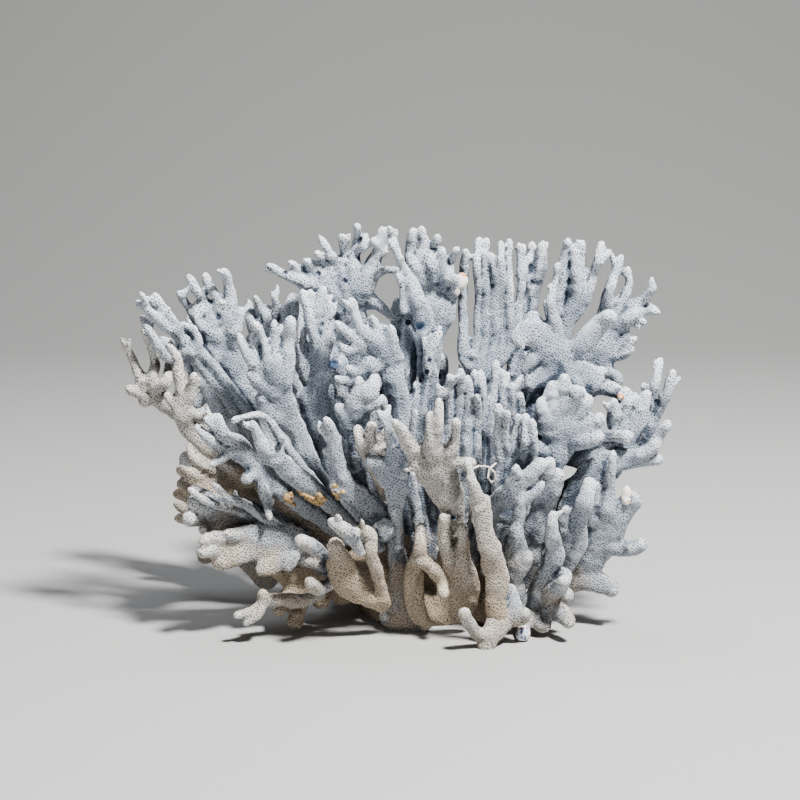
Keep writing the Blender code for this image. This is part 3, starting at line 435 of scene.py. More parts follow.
def fused(name, lumps, skin, grid=SKIN_GRID, swell=LUMP_SWELL, smoothing=2):
    """The lumps grown together into one closed, softly lumpy skin, sawn off at the floor."""
    bm = lumps["mesh"]
    bmesh.ops.scale(bm, vec=(MM, MM, MM), verts=bm.verts)
    piece = bpy.data.objects.new(name, bpy.data.meshes.new(name))
    bm.to_mesh(piece.data)
    bm.free()
    bpy.context.collection.objects.link(piece)
    fuse = piece.modifiers.new("fuse", "REMESH")
    fuse.mode = "VOXEL"
    fuse.voxel_size = grid * MM
    even = piece.modifiers.new("even", "SMOOTH")
    even.factor = 0.5
    even.iterations = smoothing
    for label, size, height in (("lumps", 0.011, swell), ("knots", 0.0045, swell * 0.35)):
        pattern = bpy.data.textures.get(label) or bpy.data.textures.new(label, "CLOUDS")
        pattern.noise_scale = size
        pattern.noise_depth = 1
        raise_up = piece.modifiers.new(label, "DISPLACE")
        raise_up.texture = pattern
        raise_up.texture_coords = "LOCAL"
        raise_up.strength = height * MM * 2
        raise_up.mid_level = 0.5
    finished = bpy.data.meshes.new_from_object(piece.evaluated_get(bpy.context.evaluated_depsgraph_get()))
    piece.modifiers.clear()
    piece.data = finished
    saw_flat(piece)

    near = KDTree(len(lumps["places"]))
    for number, place in enumerate(lumps["places"]):
        near.insert(place, number)
    near.balance()
    nearest = [near.find(vertex.co)[1] for vertex in finished.vertices]
    shares = {label: [lumps[label][number] for number in nearest] for label in ("growth", "stain")}
    # Painted shade: how far other branches close off each point, which darkens its colour.
    shares["sheltered"] = [occlusion_at(vertex.co, vertex.normal) for vertex in finished.vertices]
    for label, values in shares.items():
        finished.attributes.new(label, "FLOAT", "POINT").data.foreach_set("value", values)
    finished.materials.clear()
    finished.materials.append(skin)
    finished.shade_smooth()
    return piece


def saw_flat(piece):
    bm = bmesh.new()
    bm.from_mesh(piece.data)
    if min(v.co.z for v in bm.verts) < 0.0:
        cut = bmesh.ops.bisect_plane(bm, geom=bm.verts[:] + bm.edges[:] + bm.faces[:], dist=1e-6,
                                     plane_co=(0, 0, 0), plane_no=(0, 0, -1), clear_outer=True)
        rim = [e for e in cut["geom_cut"] if isinstance(e, bmesh.types.BMEdge)]
        bmesh.ops.holes_fill(bm, edges=rim, sides=0)
        bm.to_mesh(piece.data)
    bm.free()


def in_place_of(node, piece):
    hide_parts(node)
    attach(piece, "root")


lumps = new_lumps()
for centre, half in HOLDFAST_SWELLINGS:
    add_lump(lumps, Vector(centre), Vector((0, 1, 0)), Vector((0, 0, 1)), half, 0.3, 0.5)
dice = random.Random("stumps")
lowest, highest, foremost = STUMP_PLACES
for _ in range(STUMPS):
    turn = dice.uniform(0, 2 * math.pi)
    start = HOLDFAST_MIDDLE + Vector((math.cos(turn) * STUMP_RING[0], math.sin(turn) * STUMP_RING[1],
                                      dice.uniform(*STUMP_SPAN)))
    spot = SOLID_SURFACES.ray_cast(start * MM, (HOLDFAST_MIDDLE - start).normalized())[0]
    if spot is None or spot.z < lowest or spot.z > highest or spot.y < foremost:
        continue
    away = (spot / MM - HOLDFAST_MIDDLE).normalized() + STUMP_LEAN
    half, length = dice.uniform(3.6, 7.0), dice.uniform(4.0, 12.0)
    for k in range(5):
        add_lump(lumps, spot / MM + away * length * (k / 4 - 0.3), away, Vector((0, 0, 1)),
                 (half * (1 - 0.08 * k), half, half * 0.8), 0.4 + 0.12 * k, 0.3)
holdfast = fused("holdfast_skin", lumps, CORAL_SKINS["holdfast_coral"], COARSE_GRID, HOLDFAST_SWELL)
in_place_of("holdfast", holdfast)


# Left arm
# The outermost branch on the left, which leans out low and splits into crooked fingers. Silt has stained it
# tan all over.
FRONT_FACE = Vector((0, -1, 0))
BLADE_THICKNESS = 6.5        # half the thickness of a frond's blade; a finger thinner than this stays round
LUMP_SPACING = 3.0           # step between the lumps of a strand
TIP_WANDER = 7.0             # how far a fingertip strays out of its frond's plane
CROOK = 1.6                  # how far a strand wanders from its drawn line
DRIFT_APART = (              # where in one smooth pattern each axis reads how far it drifts
    Vector((9.3, -1.5, -8.0)), Vector((0, 0, 0)), Vector((-5.2, 7.1, 3.3)),
)
FINGER_SLIM = 0.86           # a finished finger against the plain solid of it
TIP_SLIM = 0.78              # the last lump of a finger against the plain solid's tip
RIB_WIDTH = 4.0              # half the spacing of the ribs that a broad blade is made of
RIB_WANDER = 2.6             # how far a rib strays in front of or behind its blade
WEB_THICKNESS = 0.6          # the web between the ribs against the ribs

coral_skin("stained_coral", deep=(0.06, 0.055, 0.05), body=(0.36, 0.35, 0.335), tip=(0.62, 0.61, 0.59),
           stain=(0.31, 0.265, 0.21), overgrown=0.27)


def branch(drawing):
    """A branch as a chain of points. It is drawn as a list: its points from the foot up, each the x, z and
    half width there and, where it leaves its blade, how far behind it stands. After them come the branches
    that fork off at the last point."""
    points = [item for item in drawing if isinstance(item, tuple)]
    shoots = [branch(item) for item in drawing[len(points):]]
    for x, z, r, *back in reversed(points):
        shoots = [{"x": x, "z": z, "r": r, "dy": sum(back), "shoots": shoots}]
    return shoots[0]


def frond(root_y, tip_y, drawing, thick=BLADE_THICKNESS, face=FRONT_FACE):
    """A frond drawn in the front view, and its depth at the root and at the furthest tip."""
    return {"root_y": root_y, "tip_y": tip_y, "tree": branch(drawing), "thick": thick,
            "face": Vector(face).normalized()}


def reach(tree, start=0.0):
    far = start
    for shoot in tree["shoots"]:
        far = max(far, reach(shoot, start + math.hypot(shoot["x"] - tree["x"], shoot["z"] - tree["z"])))
    return far


def strands(piece, dice):
    """Every way from the root to a tip, as points of (place, half width, share grown), and the number of the
    point where it leaves the way before it."""
    whole = max(reach(piece["tree"]), 1.0)
    found = []

    def climb(tree, trail, gone, fresh):
        share = gone / whole
        wander = dice.uniform(-1, 1) * TIP_WANDER * share * share
        depth = piece["root_y"] + (piece["tip_y"] - piece["root_y"]) * share + tree["dy"] + wander
        trail = trail + [(Vector((tree["x"], depth, tree["z"])), float(tree["r"]), share)]
        if not tree["shoots"]:
            found.append((trail, fresh))
            return
        for number, shoot in enumerate(tree["shoots"]):
            step = math.hypot(shoot["x"] - tree["x"], shoot["z"] - tree["z"])
            climb(shoot, trail, gone + step, fresh if number == 0 else len(trail) - 1)

    climb(piece["tree"], [], 0.0, 0)
    return found


def spine(path, step):
    """Even steps along a smooth path through points of (place, half width, share grown)."""
    out = []
    for i in range(len(path) - 1):
        before = path[max(i - 1, 0)]
        start, end = path[i], path[i + 1]
        after = path[min(i + 2, len(path) - 1)]
        count = max(1, round((end[0] - start[0]).length / step))
        for k in range(count):
            t = k / count
            bend = (end[0] - before[0]) * 0.5
            lead = (after[0] - start[0]) * 0.5
            place = (start[0] * (2 * t**3 - 3 * t**2 + 1) + bend * (t**3 - 2 * t**2 + t)
                     + end[0] * (3 * t**2 - 2 * t**3) + lead * (t**3 - t**2))
            taper = t ** 1.25
            out.append((place, start[1] + (end[1] - start[1]) * taper, start[2] + (end[2] - start[2]) * t))
    out.append((path[-1][0], path[-1][1] * TIP_SLIM, path[-1][2]))
    return out


def drift_at(place):
    """A smooth drift of up to one each way along each axis, the same in every run."""
    return Vector([noise.noise(place + apart) for apart in DRIFT_APART])


def string(lumps, steps, piece, stain, fluted):
    """Lumps along one strand: a single finger or, where it is broad, a blade, smooth or with ribs."""
    for i, (place, r, share) in enumerate(steps):
        ahead = steps[min(i + 1, len(steps) - 1)][0] - steps[max(i - 1, 0)][0]
        if ahead.length < 0.01:
            continue
        place = place + drift_at(place * 0.045) * CROOK
        slim = min(1.0, FINGER_SLIM + max(0.0, r - 5.0) * 0.05)
        r = r * slim * (1 + 0.16 * noise.noise(place * 0.11))
        face = piece["face"]
        if r < RIB_WIDTH * 1.7:
            sizes = (r, max(r * 0.95, LUMP_SPACING), min(r, piece["thick"]))
            add_lump(lumps, place, ahead, face, sizes, share, stain)
            continue
        if not fluted:
            thin = piece["thick"] * (0.8 + 0.25 * noise.noise(place * 0.07))
            add_lump(lumps, place, ahead, face, (r, r * 0.9, min(r, thin)), share, stain)
            continue
        across = ahead.normalized().cross(face)
        ribs = max(2, round(r / RIB_WIDTH))
        half = min(r / ribs * 1.1, piece["thick"])
        add_lump(lumps, place, ahead, face, (r * 0.94, r * 0.8, half * WEB_THICKNESS), share, stain)
        for number in range(ribs):
            side = (2 * number + 1 - ribs) / ribs * r
            swell = noise.noise(Vector((number * 7.3, place.z * 0.035, place.x * 0.035)))
            spot = place + across * side + face * swell * RIB_WANDER
            add_lump(lumps, spot, ahead, face, (half, max(half, LUMP_SPACING), half), share, stain)


def side_of(piece, along, lean):
    """A direction that leans out of a strand, mostly within its frond's blade."""
    across = along.cross(piece["face"]).normalized()
    return (along.normalized() + across * lean).normalized()


def bud(lumps, place, heading, length, r, piece, share, stain, dice):
    """A short side finger that bends back towards the way its strand grows."""
    middle = place + heading * length * 0.55
    bend = Vector((dice.uniform(-1, 1), dice.uniform(-1, 1), dice.uniform(0.2, 1.2))) * length * 0.18
    tip = middle + heading * length * 0.45 + bend
    path = [(place, r * 1.15, share), (middle, r, share + 0.04), (tip, r * 0.85, share + 0.1)]
    string(lumps, spine(path, LUMP_SPACING), piece, stain, False)


def buds(lumps, trail, piece, dice, stain, leafy):
    """Side fingers near the tip of a strand, and small knobs further down."""
    for i in range(1, len(trail)):
        start, end = trail[i - 1], trail[i]
        along = end[0] - start[0]
        if end[1] > 9.0 or along.length < 9.0 or dice.random() > leafy:
            continue
        last = i == len(trail) - 1
        spot = dice.uniform(0.25, 0.7)
        place = start[0].lerp(end[0], spot)
        way = dice.choice((-1, 1)) * dice.uniform(0.45, 0.95)
        length = min(dice.uniform(7.0, 13.0), along.length * (1.05 - spot) + 4.0)
        size = dice.uniform(2.9, 3.6)
        heading = side_of(piece, along, way) + Vector((0, dice.uniform(-0.5, 0.35), 0))
        length = length if last else length * 0.6
        bud(lumps, place, heading.normalized(), length, size, piece, end[2], stain, dice)


def from_its_side(trail, fresh, piece):
    """A shoot leaves a broad strand from the side that it leans to, not from the middle."""
    if fresh < 1:
        return trail
    place, r, share = trail[fresh]
    across = (place - trail[fresh - 1][0]).cross(piece["face"]).normalized()
    lean = (trail[fresh + 1][0] - place).dot(across)
    room = max(0.0, r - trail[fresh + 1][1]) * 0.8
    moved = place + across * max(-room, min(room, lean * 0.6))
    return trail[:fresh] + [(moved, min(r, trail[fresh + 1][1] * 1.15), share)] + trail[fresh + 1:]


DRAWN = {}


def grow(name, pieces, slot, stain=0.0, leafy=0.4, fluted=False, grid=SKIN_GRID):
    """A frond's strands, each a string of lumps, fused into one skin in place of the solid."""
    DRAWN[name] = pieces
    lumps = new_lumps()
    dice = random.Random(name)
    extra = random.Random(name + " buds")
    for piece in pieces:
        for trail, fresh in strands(piece, dice):
            trail = from_its_side(trail, fresh, piece)
            steps = spine(trail[max(fresh - 1, 0):], LUMP_SPACING)
            skip = 0
            if fresh > 0:
                skip = max(1, round((trail[fresh][0] - trail[fresh - 1][0]).length / LUMP_SPACING))
            string(lumps, steps[skip:], piece, stain, fluted)
            buds(lumps, trail[fresh:], piece, extra, stain, leafy)
    in_place_of(name, fused(name + "_skin", lumps, CORAL_SKINS[slot], grid))


grow("left_arm", [
    frond(-12, -45, [(-62, 62, 10), (-110, 118, 9.5), (-150, 157, 9), (-178, 180, 9), (-197, 194, 9),
        [(-205, 208, 5.5), (-211, 222, 4.4), (-217, 238, 3.7)], [(-213, 199, 5)],
        [(-195, 210, 5.5), (-193, 222, 4.8), (-198, 246, 3.9)],
        [(-184, 204, 6), (-182, 216, 4.8), (-180, 235, 3.5)], [(-203, 186, 6)]]),
], "stained_coral", stain=0.16)

# Left hand
# A second tan branch just in front of the left arm, with one thick forked finger and a blunt thumb.
grow("left_hand", [
    frond(-34, -72, [(-50, 66, 8.5), (-104, 120, 8.5), (-146, 151, 8), (-163, 169, 8), (-169, 184, 8),
        [(-168, 199, 7), (-171, 214, 5.5), (-172, 226, 4.6), (-177, 237, 3.5)],
        [(-162, 199, 4.8), (-158, 215, 3.7)], [(-181, 197, 4.6)], [(-154, 178, 5), (-148, 184, 3.6)]]),
], "stained_coral", stain=0.16)

# Top left fan
# A broad fan that stands behind the others at the top left, with long forked fingers and fine even pores.
coral_skin("pale_coral", deep=(0.032, 0.046, 0.072), body=(0.27, 0.315, 0.38), tip=(0.60, 0.64, 0.69),
           stain=(0.33, 0.295, 0.25), overgrown=0.27)

grow("top_left_fan", [
    frond(0, -30, [(-55, 66, 11), (-92, 130, 12), (-120, 178, 13),
        [(-134, 208, 14), (-139, 232, 14),
            [(-150, 244, 8), (-160, 251, 5.4), [(-161, 265, 3.8)], [(-168, 262, 4.6), (-173, 275, 4)]],
            [(-148, 250, 7), (-154, 266, 5), (-159, 276, 4.8), (-165, 287, 3.8)],
            [(-142, 254, 7.5), (-143, 268, 5), (-149, 279, 4.8), (-151, 288, 3.8)],
            [(-135, 256, 8), (-133, 270, 5.6), (-135, 283, 5), (-137, 292, 4.2)],
            [(-128, 246, 6), (-124, 260, 4)], [(-147, 222, 8), (-156, 236, 4)]],
        [(-122, 200, 5), (-126, 222, 3.4)]]),
], "pale_coral")

# Outer left fan
# A slender fan that leans out to the left between the arm and the top fan, with three long fingers.
grow("outer_left_fan", [
    frond(-6, -52, [(-66, 76, 8.5), (-104, 142, 8.5), (-132, 188, 8.5), (-150, 214, 8.5), (-162, 229, 8),
        [(-172, 243, 6), (-183, 251, 5.5),
            [(-188, 262, 4), (-193, 270, 3.5)], [(-192, 261, 5), (-203, 270, 3.8)]],
        [(-167, 241, 5), (-174, 251, 4.5), (-183, 264, 4.2), (-191, 275, 3.6)],
        [(-172, 222, 6), (-184, 226, 5.4), (-191, 242, 4.6), (-200, 256, 3.7)],
        [(-156, 236, 4.4), (-160, 248, 3.5)]]),
], "pale_coral", fluted=True)

# Left spotted fan
# The bright fan in front of the left side. Its pores are the plainest of all, because it faces the light.
grow("left_spotted_fan", [
    frond(-30, -64, [(-40, 72, 8.5), (-58, 114, 8.5), (-70, 140, 8.5), (-82, 168, 9),
        [(-98, 180, 9), (-107, 194, 6.4)],
        [(-93, 198, 10),
            [(-107, 216, 8), (-118, 231, 5.2), (-124, 244, 3.7)], [(-108, 224, 6), (-112, 244, 3.6)],
            [(-101, 220, 5.4), (-103, 238, 4.2), (-108, 254, 3.7)],
            [(-95, 218, 7), (-96, 234, 5.2), (-95, 255, 4.2)],
            [(-88, 214, 8.5), (-85, 236, 6.2), (-83, 257, 5.6)], [(-108, 206, 7), (-116, 214, 4)]]]),
], "pale_coral")

# Left inner fan
# A shorter fan behind the spotted one, seen only as a row of fingertips over its top.
grow("left_inner_fan", [
    frond(16, 2, [(-46, 66, 10), (-74, 150, 11), (-96, 208, 13), (-103, 230, 12),
        [(-111, 250, 5), (-115, 267, 3.6)], [(-105, 246, 5), (-106, 258, 3.8)],
        [(-98, 248, 6), (-98, 260, 4.6), (-101, 271, 3.7)],
        [(-90, 240, 8), (-86, 256, 7.5), (-84, 266, 6)], [(-117, 240, 5.4), (-124, 257, 4)],
        [(-112, 220, 7), (-122, 232, 4)]]),
], "pale_coral", fluted=True)

# Left column
# A stout round limb that forks near the top into a pale head and a curved prong.
grow("left_column", [
    frond(-18, -46, [(-34, 70, 10), (-56, 130, 11), (-66, 180, 12),
        [(-64, 200, 9),
            [(-62, 218, 8),
                [(-64, 236, 5.4), (-68, 252, 5.2), [(-67, 276, 3.7)], [(-71, 266, 4.8), (-74, 277, 3.7)]],
                [(-62, 240, 5.4), (-62, 258, 7), (-57, 279, 4)],
                [(-57, 231, 6),
                    [(-55, 252, 3.8), (-54, 266, 3.5)],
                    [(-49, 241, 4.8), (-42, 251, 3.9), (-36, 265, 3.4)]],
                [(-74, 232, 4.4), (-73, 246, 3.9)]],
            [(-52, 210, 5), (-46, 217, 8, 6), (-47, 203, 6.5, 6)]],
        [(-75, 192, 7)]]),
], "pale_coral")

# Left front arm
# A thick knobby arm that reaches out to the left in front, with a short hanging shoot.
grow("left_front_arm", [
    frond(-42, -84, [(-46, 82, 8), (-84, 112, 8), (-104, 131, 8),
        [(-116, 146, 8),
            [(-128, 154, 6.8), (-136, 149, 4.8), (-145, 146, 4)],
            [(-124, 160, 6.8), (-134, 168, 5.8), [(-139, 185, 4)], [(-141, 174, 5), (-148, 182, 4)]],
            [(-137, 158, 6.6), (-147, 167, 5.6), (-155, 175, 3.8)]],
        [(-112, 134, 7), (-120, 130, 6)], [(-104, 120, 6), (-102, 110, 5), (-101, 101, 3.8)]]),
], "pale_coral")

# Left front limb
# The bare limb that crosses in front of the left side, and the thin arched finger behind it.
grow("left_front_limb", [
    frond(-56, -106, [(-34, 92, 8), (-60, 119, 8), (-74, 131, 8.6), (-86, 143, 8.6), (-93, 152, 8),
        [(-101, 160, 6.6), (-106, 170, 5.6), (-110, 183, 4)], [(-107, 155, 6)],
        [(-90, 164, 4), (-88, 171, 3.4)]]),
    frond(-56, -96, [(-58, 112, 7), (-82, 150, 5.4), (-100, 181, 4), (-112, 187, 3.7), (-125, 184, 3.6)]),
], "pale_coral")

# Tan plate
# A flat scalloped plate low on the left, stained brown, with a row of blunt lobes at its edge.
grow("tan_plate", [
    frond(12, -34, [(-58, 56, 11), (-100, 92, 15), (-134, 112, 18),
        [(-150, 129, 8), (-162, 139, 5.6), (-168, 149, 4.4)], [(-151, 134, 6), (-155, 146, 4)],
        [(-156, 120, 9), (-169, 129, 6), (-176, 133, 4.8)], [(-158, 113, 9), (-175, 120, 5.4)],
        [(-156, 106, 9), (-179, 109, 4.8)], [(-126, 122, 9), (-139, 136, 5.2), (-146, 143, 4)],
        [(-118, 122, 9), (-124, 137, 4.6)]]),
], "stained_coral", stain=0.16)

# Ridged plate
# The plate in front of it, with long low ridges that run out to its lobes.
grow("ridged_plate", [
    frond(-29, -67, [(-60, 59, 12), (-94, 83, 15), (-126, 98, 17),
        [(-147, 111, 8), (-163, 122, 5)], [(-150, 104, 9), (-163, 112, 5)],
        [(-150, 98, 9), (-165, 98, 6.6)], [(-142, 92, 9), (-155, 88, 5.4)],
        [(-136, 88, 9), (-144, 82, 5)]]),
    frond(-44, -82,
          [(-74, 78, 7), (-99, 92, 6.2), (-118, 108, 4.8), (-131, 117, 4), (-143, 128, 3.4)], thick=5),
    frond(-44, -76, [(-84, 80, 7), (-120, 99, 4.8), (-148, 113, 4), (-163, 123, 3.4)], thick=5),
], "pale_coral")

# Tan finger
# A single stout tan finger that sticks out to the left from under the plates.
grow("tan_finger", [
    frond(-4, -42, [(-66, 42, 8),
        [(-108, 66, 8), (-140, 83, 7), (-158, 89, 6), (-177, 92, 5)], [(-110, 66, 7), (-138, 73, 6)]]),
], "stained_coral", stain=0.16)

# Lobed plate
# A thick plate that ends in rounded lobes, low on the left and covered in pores.
grow("lobed_plate", [
    frond(-40, -82, [(-52, 54, 11), (-82, 72, 16),
        [(-112, 78, 16),
            [(-133, 82, 8), (-146, 86, 5.4), (-153, 84, 4.4)], [(-134, 75, 9), (-154, 76, 5.4)],
            [(-130, 68, 9), (-144, 62, 5.2)], [(-122, 84, 8), (-134, 88, 4.6)]],
        [(-96, 62, 10), (-108, 55, 6.4)], [(-85, 64, 9), (-89, 57, 6.4)]]),
], "pale_coral")

# Egg lobes
# Three smooth egg-shaped lobes that bud from the front of the lobed plate.
grow("egg_lobes", [
    frond(-60, -98, [(-34, 50, 7), (-50, 62, 5.6),
        [(-62, 77, 6.6), (-75, 90, 6.4)], [(-59, 62, 6.6), (-72, 71, 6.4)],
        [(-50, 50, 5.6), (-60, 46, 6.8), (-68, 55, 6.4)]], thick=8),
], "pale_coral")

# Left foot
# The brown plate nearest the floor on the left, whose lowest lobe almost touches it.
grow("left_foot", [
    frond(-10, -56, [(-38, 36, 14),
        [(-60, 37, 18),
            [(-76, 40, 17),
                [(-91, 47, 8), (-99, 52, 5.2)], [(-88, 28, 8), (-96, 19, 5.6)],
                [(-78, 20, 8), (-82, 8, 7)]],
            [(-62, 20, 8)]],
        [(-46, 20, 8)]]),
], "stained_coral", stain=0.16)

# White finger
# A pale finger in front of the left foot that forks at its end.
grow("white_finger", [
    frond(-52, -92, [(-62, 31, 6), (-78, 28, 6.6), (-92, 32, 6.6), (-104, 34, 6),
        [(-106, 41, 5)], [(-113, 27, 5), (-127, 25, 4.6)], [(-110, 24, 4.6), (-120, 18, 4.2)]]),
], "pale_coral")

# Centre spray
# A pored branch that leans left across the dark gap at the centre, and the pale stub in front of it.
grow("centre_spray", [
    frond(-66, -98, [(-4, 88, 9), (-10, 92, 12, -12), (-17, 102, 14.5), (-28, 113, 13.5), (-39, 125, 10),
        [(-47, 140, 6.6), (-46, 151, 5.2), (-55, 157, 4.2)],
        [(-47, 148, 5.4), (-50, 163, 5), (-59, 179, 3.8)],
        [(-44, 150, 5.2), (-47, 168, 5), (-54, 185, 4.2)], [(-50, 128, 4.2)]]),
    frond(-96, -120, [(-28, 78, 5), (-34, 90, 6),
        [(-41, 99, 7), (-51, 107, 4.6)], [(-31, 99, 4.8)]]),
], "pale_coral")

# Tan lobes
# A group of fat tan lobes at the foot of the centre, with thin pale crests.
grow("tan_lobes", [
    frond(-66, -102, [(-10, 26, 7.4),
        [(-24, 36, 8), (-36, 47, 13), (-42, 59, 13.6), (-46, 73, 9.4), (-49, 87, 6)],
        [(-12, 40, 5.8), (-16, 58, 5.8), (-20, 76, 6.4), (-20, 90, 6.4), (-28, 98, 4.8)]]),
], "stained_coral", stain=0.16)

# Centre foot
# The foot that stands on the floor just left of the dark hollow, and two slim limbs that rise from it.
grow("centre_foot", [
    frond(-44, -70, [(6, 8, 13),
        [(-8, 12, 8.5)], [(24, 4, 6.4)],
        [(3, 30, 11), (3, 46, 9.8), (2, 60, 8.4), (0, 76, 7), (-1, 92, 6.6), (-2, 108, 6)]]),
], "pale_coral")

# Wishbone
# A tan shoot that forks downwards like a wishbone over the hollow.
grow("wishbone", [
    frond(-56, -88, [(18, 12, 6), (11, 30, 6), (11, 52, 6.4), (17, 68, 7.4), (19, 80, 6.2), (20, 96, 4.8)]),
    frond(-84, -84, [(17, 70, 7), (28, 61, 6.4), (35, 51, 6.4), (37, 42, 5.4)]),
    frond(-60, -72, [(24, 8, 6), (20, 24, 5.2), (18, 38, 4.8), (18, 54, 4.2)]),
], "stained_coral", stain=0.16)

# Centre hand
# The hand of knobby fingers that reaches out furthest at the front, tan at the wrist and paler at the tips.
grow("centre_hand", [
    frond(-62, -126, [(38, 60, 7), (45, 98, 8), (43, 115, 11), (37, 130, 15), (31, 145, 17),
        [(15, 160, 8), (7, 173, 6.4), (-1, 187, 4.4)], [(27, 162, 7), (26, 176, 4.8), (26, 191, 4)],
        [(31, 166, 6), (32, 184, 5), (33, 203, 4.4)], [(41, 158, 7), (45, 172, 5), (45, 188, 4)],
        [(44, 151, 6), (58, 153, 5)], [(20, 146, 7), (12, 152, 4)]], thick=9),
], "stained_coral", stain=0.16)

# Long ridge
# A tall blade seen edge on, which runs from the front foot right up past the hand.
grow("long_ridge", [
    frond(-88, -116, [(80, 26, 9), (79, 38, 9.6), (79, 52, 10), (75, 75, 9.6),
        [(67, 102, 8), (61, 128, 6.2), (57, 142, 4.6), (54, 154, 3.4)],
        [(70, 112, 4.6), (69, 124, 3.6)]], thick=5.4),
], "stained_coral", stain=0.16)

# Front foot
# The foremost foot, which touches the floor, with a stout finger on its left.
grow("front_foot", [
    frond(-78, -108, [(87, 38, 12),
        [(82, 22, 12.5), (74, 8, 9.4), [(70, 1, 6.4)], [(62, 14, 6), (52, 33, 5.6)]],
        [(94, 22, 9), (101, 26, 8)]]),
], "pale_coral")

# Right front fork
# A pored limb that stands right of the ridge and forks twice.
grow("right_front_fork", [
    frond(-62, -96, [(92, 14, 9), (96, 32, 9), (93, 52, 9),
        [(100, 62, 7), (105, 71, 6.2)],
        [(95, 72, 9), (95, 88, 7), (96, 104, 5.8), (98, 118, 5.2), (103, 134, 4.6)]]),
    frond(-52, -102, [(72, 70, 7), (74, 100, 8), (82, 116, 8),
        [(96, 131, 8), (106, 143, 7), (112, 151, 5)], [(104, 124, 6), (113, 132, 4.4)],
        [(88, 128, 5.4), (93, 146, 4.2)]]),
], "pale_coral")

# Right column
# A round column next to it with one low branch.
grow("right_column", [
    frond(-52, -92, [(112, 14, 9),
        [(112, 32, 9), (119, 50, 9),
            [(125, 66, 8.4), (124, 80, 7), (122, 94, 6.2), (122, 108, 5)], [(130, 56, 6), (137, 52, 5)]],
        [(126, 36, 7), (138, 34, 7)]]),
], "pale_coral")

# Right round plate
# A narrow rounded plate behind the column with short fingers on top.
grow("right_round_plate", [
    frond(-40, -70, [(104, 40, 10), (108, 78, 14), (113, 104, 15),
        [(124, 121, 8), (128, 136, 5.4)], [(118, 126, 8), (120, 146, 6)],
        [(109, 124, 8), (108, 143, 5.4)], [(102, 114, 8), (98, 129, 5)]]),
], "pale_coral")

# Right bracket
# A limb that climbs, bends level and turns up again at its far end.
grow("right_bracket", [
    frond(-40, -74, [(118, 34, 10),
        [(130, 47, 9), (140, 62, 9), (146, 76, 8.6), (144, 94, 8.6), (149, 112, 8), (153, 129, 5.8)],
        [(134, 76, 8), (132, 92, 6.4), (136, 106, 5)]]),
    frond(-40, -50, [(118, 34, 10), (136, 80, 12), (150, 118, 14), (167, 138, 12), (184, 142, 9),
        [(199, 143, 7), (211, 142, 5)], [(203, 151, 6.6), (210, 163, 5.8), (216, 174, 5)]]),
], "pale_coral")

# Right lower plate
# The broad dotted frond low on the right, which ends in rounded lobes.
grow("right_lower_plate", [
    frond(-26, -66, [(116, 22, 12), (134, 38, 13),
        [(149, 54, 17), (163, 74, 18),
            [(172, 91, 15),
                [(182, 103, 10), (191, 112, 7.4)], [(155, 98, 9), (158, 113, 6), (160, 124, 4.6)],
                [(168, 104, 8), (170, 120, 5.8), (170, 138, 5), (171, 151, 4.2)]],
            [(181, 69, 8), (190, 70, 6.6), (199, 74, 6)]],
        [(152, 40, 10), (166, 37, 8.6), (176, 33, 7)]]),
], "pale_coral")

# Right base lobes
# A clump of small lobes at the right foot, with a broken end.
grow("right_base_lobes", [
    frond(-46, -90, [(110, 26, 9.6),
        [(126, 23, 8.4), (138, 18, 6.8)], [(117, 14, 8.4), (117, 9, 7.4)], [(106, 18, 7), (101, 6, 6)],
        [(125, 38, 8), (134, 54, 5.6)]]),
], "pale_coral")

# Far right antler
# A slim antler that leans out to the right with a bunch of short fingers.
grow("far_right_antler", [
    frond(-12, -36, [(92, 60, 8), (140, 110, 8), (178, 138, 7.8), (198, 152, 7.2),
        [(209, 174, 6.2), [(216, 192, 5.4), (222, 211, 4.4)], [(203, 188, 4.4)]],
        [(204, 172, 6), (204, 187, 5.4), [(207, 203, 4.8), (211, 219, 3.9)], [(199, 200, 4)]],
        [(212, 160, 5), (219, 168, 4)]]),
], "pale_coral", fluted=True)

# Right shield
# A flat shield of fused fingers just inside it.
grow("right_shield", [
    frond(-20, -50, [(104, 50, 8), (144, 98, 12), (170, 134, 14), (184, 158, 14),
        [(184, 178, 8), (183, 198, 5)], [(194, 174, 8), (200, 196, 4.8)], [(190, 176, 5), (191, 190, 4)],
        [(174, 172, 7), (172, 190, 4.6)]]),
], "pale_coral")

# Right arch
# A limb that arches over to the right and ends bent down.
grow("right_arch", [
    frond(0, -52, [(86, 60, 9), (112, 118, 10), (129, 141, 9),
        [(147, 141, 10), (160, 147, 9), (171, 152, 6.4)],
        [(143, 151, 8), [(155, 157, 7), (168, 161, 6.4), (184, 163, 5.6)], [(150, 164, 5), (153, 174, 4)]]]),
    frond(0, -26, [(86, 60, 9), (120, 150, 10), (136, 184, 8),
        [(145, 200, 6.4), (154, 209, 6), (166, 211, 5.4)],
        [(148, 190, 8), (164, 196, 7.4), (178, 194, 6), (185, 186, 4.8)]]),
], "pale_coral")

